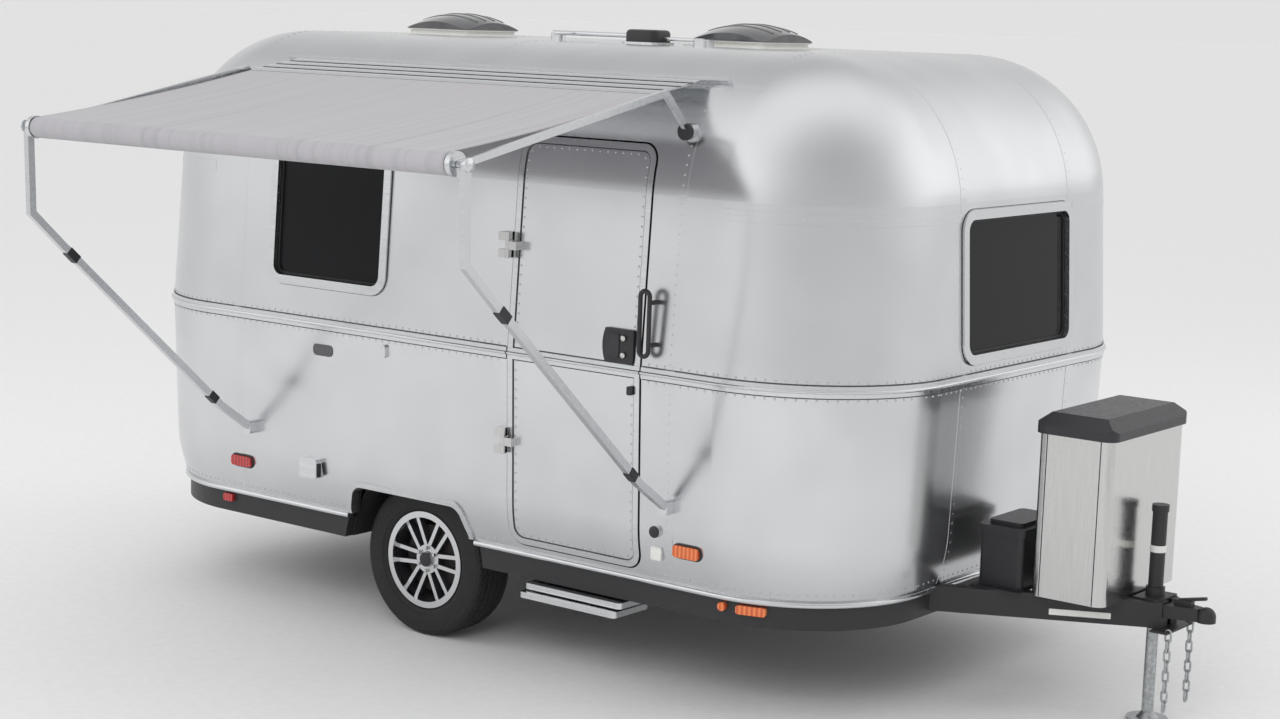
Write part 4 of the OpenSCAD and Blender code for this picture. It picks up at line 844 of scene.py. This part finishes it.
frame_lines = [window_line(window, FRAME_EDGE, 0.0, FRAME_SHADE_LINE) for window in ALL_WINDOWS]
fit_out("window_shade_lines", frame_lines, shade_line_grey)
belt_edges = [BELT_S - BELT_EDGE, BELT_S + BELT_EDGE]
fit_out("belt_shade_lines", [carried(*belt_path(s), SHADE_LINE) for s in belt_edges], shade_line_grey)
trim_line = even_outline(DOOR_MID, DOOR_HALF, DOOR_R, STRIP_STEP, -TRIM_EDGE)
door_lines = [carried(*laid(on_side, -1, trim_line), SHADE_LINE, closed=True)]
door_run = DOOR_MID[0] + np.linspace(-1.0, 1.0, 24) * (DOOR_HALF[0] - TRIM_EDGE)
door_lines += [carried(*on_side(-1, door_run, s), SHADE_LINE) for s in belt_edges]
fit_out("door_shade_lines", door_lines, shade_line_grey, "door")

# %% [markdown]
# Six nuts and a plain cap finish each wheel. A nut is a turned shape with only six steps round.

# %% Wheel nuts and caps
NUT = [(0.0092, -0.001), (0.0092, 0.0110), (0.0075, 0.0140), (0.0040, 0.0155)]
CAP = [(0.0305, -0.002), (0.0305, 0.0015), (0.0285, 0.0035), (0.0180, 0.0055), (0.0020, 0.0062)]
NUT_RING, CAP_OUT = 0.0495, 0.084
for side, body in ((-1, "wheel_right"), (1, "wheel_left")):
    turn = np.arange(6) * math.pi / 3 + math.pi / 6
    places = np.stack([WHEEL[0] + NUT_RING * np.cos(turn), np.full(6, side * FACE_OUT),
                       WHEEL[2] + NUT_RING * np.sin(turn)], axis=1)
    outward = (0.0, side, 0.0)
    fit_out(body + "_nuts", [turned(p, outward, NUT, 6) for p in places], stainless, body)
    hub = (WHEEL[0], side * (WHEEL[1] + CAP_OUT), WHEEL[2])
    fit_out(body + "_cap", [turned(hub, outward, CAP, 32)], black_abs, body)

# %% [markdown]
# The lock has two bright studs and a pull plate. Below the belt sits a bare plate, and round the walls there
# are lamp bezels, a flap, a cap and the vent hood's dark mouth. All are placed by their height on the skin.

# %% Fittings on the walls
SOFT = [(0.0, -0.001), (0.0, 0.0030), (0.0018, 0.0045)]
RIMMED = [(0.0, -0.001), (0.0, 0.0030), (0.0025, 0.0042), (0.0055, 0.0042), (0.0068, 0.0030)]
BEZEL = [(0.0, -0.001), (0.0, 0.0035), (0.0030, 0.0055)]
STUD = [(0.0114, -0.002), (0.0114, 0.0020), (0.0085, 0.0042), (0.0020, 0.0050)]
COVER = [(0.0232, -0.002), (0.0232, 0.0030), (0.0190, 0.0052), (0.0030, 0.0058)]
LOCK_X, LOCK_Z, LOCK_OUT = -1.927, 1.392, 0.016
PLATE_X, PLATE_Z = -3.530, 1.189
LAMP_XS, LAMP_Z = (-1.587, -4.044), 0.632


def at_wall(side, x, z, proud=0.0):
    """One point on a wall, a height above the ground, stood off straight outwards."""
    return on_side(side, x, length_at(z))[0] + np.array([0.0, side * proud, 0.0])


studs = [at_wall(-1, LOCK_X, LOCK_Z, LOCK_OUT + 0.006) + np.array([0.030, 0.0, dz]) for dz in (-0.033, 0.033)]
fit_out("lock_studs", [turned(p, TO_RIGHT, STUD) for p in studs], stainless, "door")
pull = at_wall(-1, LOCK_X - 0.022, LOCK_Z, LOCK_OUT)
fit_out("lock_pull", [tile(pull, TO_RIGHT, UP, (0.060, 0.096), 0.012, RIMMED)], lid_abs, "door")
plate = on_side(-1, PLATE_X, length_at(PLATE_Z))
fit_out("bare_plate", [tile(*plate, UP, (0.116, 0.050), 0.020, RIMMED)], dark_plate)
bezels = [on_side(side, x, length_at(LAMP_Z)) for side in (-1, 1) for x in LAMP_XS]
fit_out("lamp_bezels", [tile(p, n, UP, (0.138, 0.062), 0.028, BEZEL) for p, n in bezels], black_abs)
hood = at_wall(-1, -3.601, 0.667, 0.017) + np.array([0.052, 0.0, -0.004])
mouth = tile(hood, FORWARD, UP, (0.022, 0.060), 0.006, SOFT)
outlet = turned(at_wall(-1, -1.736, 0.690, 0.012), TO_RIGHT, COVER)
fit_out("dark_fittings", [mouth, outlet], black_abs)
flap = at_wall(-1, -1.733, 0.603, 0.009)
fit_out("white_flap", [tile(flap, TO_RIGHT, UP, (0.050, 0.050), 0.008, RIMMED)], white_abs)

# %% [markdown]
# The service hatches on the far side each have a dark seal round the edge, a hinge along the top and two
# quarter-turn latches. The round tail lamps sit in bright rings.

# %% Hatches and tail lamps
LATCH = [(0.0150, -0.002), (0.0150, 0.0040), (0.0120, 0.0065), (0.0030, 0.0070)]
HATCH_SEAL, HATCH_OUT, SEAL_GROW = flat_bar(0.007, 0.0018), 0.010, 0.004
latches, hinges, seals = [], [], []
for x, z, wide, high in HATCHES:
    edge = even_outline((x, z), (wide / 2, high / 2), HATCH_R, 0.020, SEAL_GROW)
    seals.append(carried(*laid(on_side, 1, edge), HATCH_SEAL, closed=True))
    face = at_wall(1, x, z, HATCH_OUT)
    low = [face + np.array([dx * wide, 0.0, -high / 2 + 0.045]) for dx in (-0.3, 0.3)]
    latches += [turned(p, TO_LEFT, LATCH) for p in low]
    upper = face + np.array([0.0, 0.0, high / 2 - 0.020])
    hinges.append(tile(upper, TO_LEFT, UP, (wide - 0.07, 0.016), 0.006, SOFT))
fit_out("hatch_latches", latches, black_abs)
fit_out("hatch_hinges", hinges, extrusion)
fit_out("hatch_seals", seals, rubber_and_painted_shade)
TAIL_Y, TAIL_Z = 0.520, 0.760
RING = [(0.0780, -0.001), (0.0780, 0.0030), (0.0745, 0.0060), (0.0680, 0.0068)]
tails = [on_end(-1, side * TAIL_Y, length_at(TAIL_Z)) for side in (-1, 1)]
fit_out("tail_rings", [turned(p, n, RING, 40) for p, n in tails], stainless)

# %% [markdown]
# On the tongue: the gas locker's cover is folded from sheet, with a dark strip of painted shadow beside each
# corner, the jack has a white band, and one leg carries a bare white strip.

# %% Tongue details
# Thin dark strips of painted shadow where each corner of the locker's cover starts to turn.
LOCKER_X, LOCKER_SIDE, LOCKER_Z = (-0.323, -0.547), 0.325, np.linspace(0.047, 0.680, 8)
seams = []
for side in (-1, 1):
    for x in LOCKER_X:
        line = np.stack([np.full(8, x), np.full(8, side * LOCKER_SIDE), LOCKER_Z], axis=1)
        seams.append(carried(line, np.tile([0.0, side, 0.0], (8, 1)), flat_bar(0.005, 0.0008)))
fit_out("locker_shade_lines", seams, rubber_and_painted_shade)
JACK_AT, JACK_R = np.array([-0.215, 0.0, 0.2376]), 0.0295
turn = np.linspace(0, 2 * math.pi, 40, endpoint=False)
round_tube = np.stack([np.cos(turn), np.sin(turn), np.zeros(40)], axis=1)
band = carried(JACK_AT + JACK_R * round_tube, round_tube, flat_bar(0.0272, 0.0012), closed=True)
fit_out("jack_band", [band], white_abs)
TONGUE = math.radians(27.0)
STRIP = [(0.0, -0.0005), (0.0, 0.0012), (0.0006, 0.002)]
leg_way = np.array([-math.cos(TONGUE), -math.sin(TONGUE), 0.0])
leg_out = np.array([math.sin(TONGUE), -math.cos(TONGUE), 0.0])
strip_at = np.array([-0.150, -0.044, -0.022]) + 0.32 * leg_way + 0.025 * leg_out
fit_out("bare_strip", [tile(strip_at, leg_out, UP, (0.235, 0.024), 0.003, STRIP)], white_abs)

# %% [markdown]
# The roof lids are blown domes with pressed ribs, so the ribs follow the sphere. The folded aerial's gear
# head wears a dark cover.

# %% Roof details
DOME_R, DOME_TOP = 0.520, 2.1784
RIB, RIB_YS = flat_bar(0.016, 0.0032), (-0.090, -0.030, 0.030, 0.090)
HEAD = [(0.0, 0.0), (0.0, 0.036), (0.006, 0.047), (0.018, 0.0510)]
HEAD_AT = (-2.500, -0.350, ROOF_Z + GROUND + 0.0105)


def lid_rib(x, y):
    """A rib along the lid: height follows the sphere, and its normal points away from the sphere's centre."""
    run = np.linspace(-0.165, 0.165, 24)
    rise = np.sqrt(DOME_R ** 2 - run ** 2 - y ** 2)
    away = np.stack([run, np.full(24, y), rise], axis=1)
    return carried(away + [x, 0.0, DOME_TOP - DOME_R], away / DOME_R, RIB)


for x, body in zip(VENT_X, ("vent_lid_front", "vent_lid_rear")):
    fit_out(body + "_ribs", [lid_rib(x, y) for y in RIB_YS], smoked_dome, body)
fit_out("aerial_cover", [tile(HEAD_AT, UP, TO_LEFT, (0.170, 0.130), 0.034, HEAD)], black_abs)

# %% [markdown]
# Each awning arm has two black collars where its tubes slide, a knob at the top of its rafter, and a bright
# hub on the end of the roller.

# %% Awning hardware
ARM_XS, RAFTER_XS = (-1.675, -3.966), (-1.6974, -3.9436)
ELBOW, KNEE, ROLLER = np.array([1.402, 0.918]), np.array([2.250, 1.666]), np.array([2.405, 2.140])
KNOB_Z, KNOB_OUT, HUB_OUT = 2.222, 0.044, 0.013
COLLAR = [(0.0175, -0.0155), (0.0175, 0.0155), (-0.0175, 0.0155), (-0.0175, -0.0155)]
KNOB = [(0.0310, -0.012), (0.0330, -0.010), (0.0330, 0.0060), (0.0280, 0.0100), (0.0040, 0.0110)]
HUB = [(0.0250, -0.001), (0.0250, 0.0070), (0.0180, 0.0110), (0.0030, 0.0120)]
arm_way, arm_run = unit(KNEE - ELBOW), np.linalg.norm(KNEE - ELBOW)
COLLAR_ENDS = ((0.035, 0.085), (arm_run - 0.100, arm_run - 0.040))


def collar(x, low, high):
    """A square sleeve on an arm, between two lengths along it."""
    out_up = ELBOW + np.linspace(low, high, 4)[:, None] * arm_way
    line = np.stack([np.full(4, x), -out_up[:, 0], out_up[:, 1] + GROUND], axis=1)
    return carried(line, np.tile(FORWARD, (4, 1)), COLLAR)


COLLARS = [collar(x, *ends) for x in ARM_XS for ends in COLLAR_ENDS]
KNOBS = [turned(at_wall(-1, x, KNOB_Z, KNOB_OUT), TO_RIGHT, KNOB) for x in RAFTER_XS]
fit_out("arm_collars", COLLARS + KNOBS, black_abs)
HUBS = [turned((x + way * HUB_OUT, -ROLLER[0], ROLLER[1] + GROUND), (way, 0.0, 0.0), HUB)
        for x, way in zip(ARM_XS, (1, -1))]
fit_out("roller_hubs", HUBS, extrusion)

# %% [markdown]
# The awning is one woven sheet, held by the slats at the body and by the roller at its outer edge. It is
# stretched, so it sags only a little between them, and its end wraps round the roller.

# %% Awning cloth
CLOTH_X = (-3.905, -1.736)
CLOTH_FROM = np.array([0.98107, 2.4110])
CLOTH_SLOPE = math.radians(-9.179)
CLOTH_WAY = np.array([math.cos(CLOTH_SLOPE), math.sin(CLOTH_SLOPE)])
CLOTH_SQUARE = np.array([-CLOTH_WAY[1], CLOTH_WAY[0]])
CLOTH_RUN, CLOTH_ROWS = (0.3196, 1.44894), 90
WRAP_R, WRAP = 0.0402, math.radians(300.0)
CLOTH_SAG, CLOTH_T = 0.012, 0.0016
RIPPLE, RIPPLE_M = 0.0025, 0.36
# Profile of the dark strips of painted shadow between the slats.
SLAT_SHADE_LINE = flat_bar(0.013, 0.0016)


def cloth_line():
    """The cloth's middle line, out and up: a straight run with a slight sag, then round the roller."""
    t = np.linspace(*CLOTH_RUN, CLOTH_ROWS)
    part = (t - CLOTH_RUN[0]) / (CLOTH_RUN[1] - CLOTH_RUN[0])
    sag = CLOTH_SAG * 4 * part * (1 - part)
    run = CLOTH_FROM + t[:, None] * CLOTH_WAY - sag[:, None] * CLOTH_SQUARE
    turn = math.pi / 2 + CLOTH_SLOPE - np.linspace(0, WRAP, 48)[1:]
    return np.concatenate([run, ROLLER + WRAP_R * np.stack([np.cos(turn), np.sin(turn)], axis=1)])


def cloth_piece(name):
    """Carries the line along the caravan; the UV map is laid out in metres, so threads keep their size."""
    line = cloth_line()
    length = run_along(line)
    x, step = np.meshgrid(np.linspace(*CLOTH_X, 120), np.arange(len(line)), indexing="ij")
    drop = RIPPLE * np.sin(2 * math.pi * (x - CLOTH_X[0]) / RIPPLE_M) * np.clip(length[step] - 0.05, 0, 0.4)
    height = line[step, 1] + GROUND - np.where(step < CLOTH_ROWS, np.abs(drop), 0.0)
    points = np.stack([x, -line[step, 0], height], axis=-1)
    made = piece(name, points, grid_faces(*x.shape)[:, ::-1], awning_cloth, "caravan", sharp=math.pi)
    layer = made.data.uv_layers.new(name="cut")
    corner = np.empty(len(made.data.loops), np.int64)
    made.data.loops.foreach_get("vertex_index", corner)
    cut = np.stack([x.ravel() - CLOTH_X[0], length[step].ravel()], axis=1)
    layer.data.foreach_set("uv", cut[corner].astype(np.float32).ravel())
    solid = made.modifiers.new("cloth thickness", "SOLIDIFY")
    solid.thickness = CLOTH_T
    solid.offset = 0.0
    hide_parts("awning_fabric")
    print(name, "cut", round(CLOTH_X[1] - CLOTH_X[0], 3), "by", round(float(length[-1]), 3))


def slat_shade_line(t):
    """A dark flat strip of painted shadow across the awning where two slats meet, t metres down from the
    rail, on their upper face.
    """
    out, up = CLOTH_FROM + t * CLOTH_WAY + 0.002 * CLOTH_SQUARE
    line = np.stack([np.linspace(*CLOTH_X, 4), np.full(4, -out), np.full(4, up + GROUND)], axis=1)
    return carried(line, np.tile([0.0, CLOTH_WAY[1], CLOTH_WAY[0]], (4, 1)), SLAT_SHADE_LINE)


cloth_piece("awning_sheet")
# Dark strips of painted shadow stand for the gaps between the slats.
fit_out("slat_shade_lines", [slat_shade_line(k * CLOTH_RUN[0] / 4) for k in (1, 2, 3)], rubber_and_painted_shade)

# %% [markdown]
# The studio is plain: a pale floor, a soft world and three large soft lamps. Polished metal only looks like
# metal when there is something to mirror, so the world is bright to both sides of the camera's line, darker
# behind the camera, and pale beyond the caravan. The camera and the metal see the same backdrop.

# %% Studio
DARK_WAY = math.radians(323.0)
PALE, BRIGHT, DARK, OVERHEAD = 0.755, 1.25, 0.62, 1.02
SWEEP = 0.08


def studio_world():
    """Soft grey world: pale away from the dark side, bright at right angles to it, and plainer overhead.

    Near the horizon it takes the far floor's level, so that floor and backdrop meet in one sweep.
    """
    world = bpy.data.worlds.new("studio")
    world.use_nodes = True
    tree = world.node_tree
    back = tree.nodes["Background"]
    way = put(tree, "TexCoord").outputs["Generated"]
    level = put(tree, "VectorMath", {0: way, 1: (math.cos(DARK_WAY), math.sin(DARK_WAY), 0.0)},
                operation="DOT_PRODUCT").outputs["Value"]
    up = put(tree, "SeparateXYZ", {"Vector": way}).outputs["Z"]
    total = None
    ramps = ((level, -0.80, -0.10, PALE, BRIGHT), (level, 0.10, 1.00, 0.0, DARK - BRIGHT),
             (up, 0.25, 0.95, 0.0, OVERHEAD - BRIGHT))
    for value, low, high, start, end in ramps:
        part = put(tree, "MapRange", {"Value": value, "From Min": low, "From Max": high, "To Min": start,
                                      "To Max": end}, interpolation_type="SMOOTHSTEP").outputs["Result"]
        if total is None:
            total = part
        else:
            total = put(tree, "Math", {0: total, 1: part}, operation="ADD").outputs["Value"]
    sweep = put(tree, "MapRange", {"Value": up, "From Min": 0.0, "From Max": SWEEP, "To Min": PALE,
                                   "To Max": total}, interpolation_type="SMOOTHSTEP").outputs["Result"]
    tree.links.new(sweep, back.inputs["Strength"])
    back.inputs["Color"].default_value = (1.0, 1.0, 1.0, 1.0)
    bpy.context.scene.world = world


studio_world()
floor_mesh = bpy.data.meshes.new("studio_floor")
REACH = 400.0
floor_mesh.from_pydata([(-REACH, -REACH, GROUND), (REACH, -REACH, GROUND), (REACH, REACH, GROUND),
                        (-REACH, REACH, GROUND)], [], [(0, 1, 2, 3)])
floor_paper = plain("pale studio paper", "#ececec", "#f0f0f0", 0.8, 40.0, 0.01)
floor_mesh.materials.append(floor_paper)
studio_floor = bpy.data.objects.new("studio_floor", floor_mesh)
bpy.context.scene.collection.objects.link(studio_floor)


def soft_lamp(name, place, target, size, watts):
    """A large square area lamp at a place, turned to face a target, and not mirrored by the metal."""
    data = bpy.data.lights.new(name, "AREA")
    data.size = size
    data.energy = watts
    lamp = bpy.data.objects.new(name, data)
    bpy.context.scene.collection.objects.link(lamp)
    back = unit(np.array(place) - np.array(target))
    right = unit(np.cross(UP, back))
    matrix = np.eye(4)
    matrix[:3, :4] = np.column_stack([right, np.cross(back, right), back, place])
    lamp.matrix_world = Matrix(matrix.tolist())
    lamp.visible_glossy = False


MIDDLE = (-2.6, 0.0, 0.9)
soft_lamp("key", (1.5, -8.0, 5.5), MIDDLE, 4.0, 170.0)
soft_lamp("side", (-9.5, -6.5, 4.5), MIDDLE, 4.0, 90.0)
soft_lamp("back", (3.0, 7.5, 5.0), MIDDLE, 4.0, 90.0)
bpy.context.scene.view_settings.view_transform = "Standard"
print("studio ready")
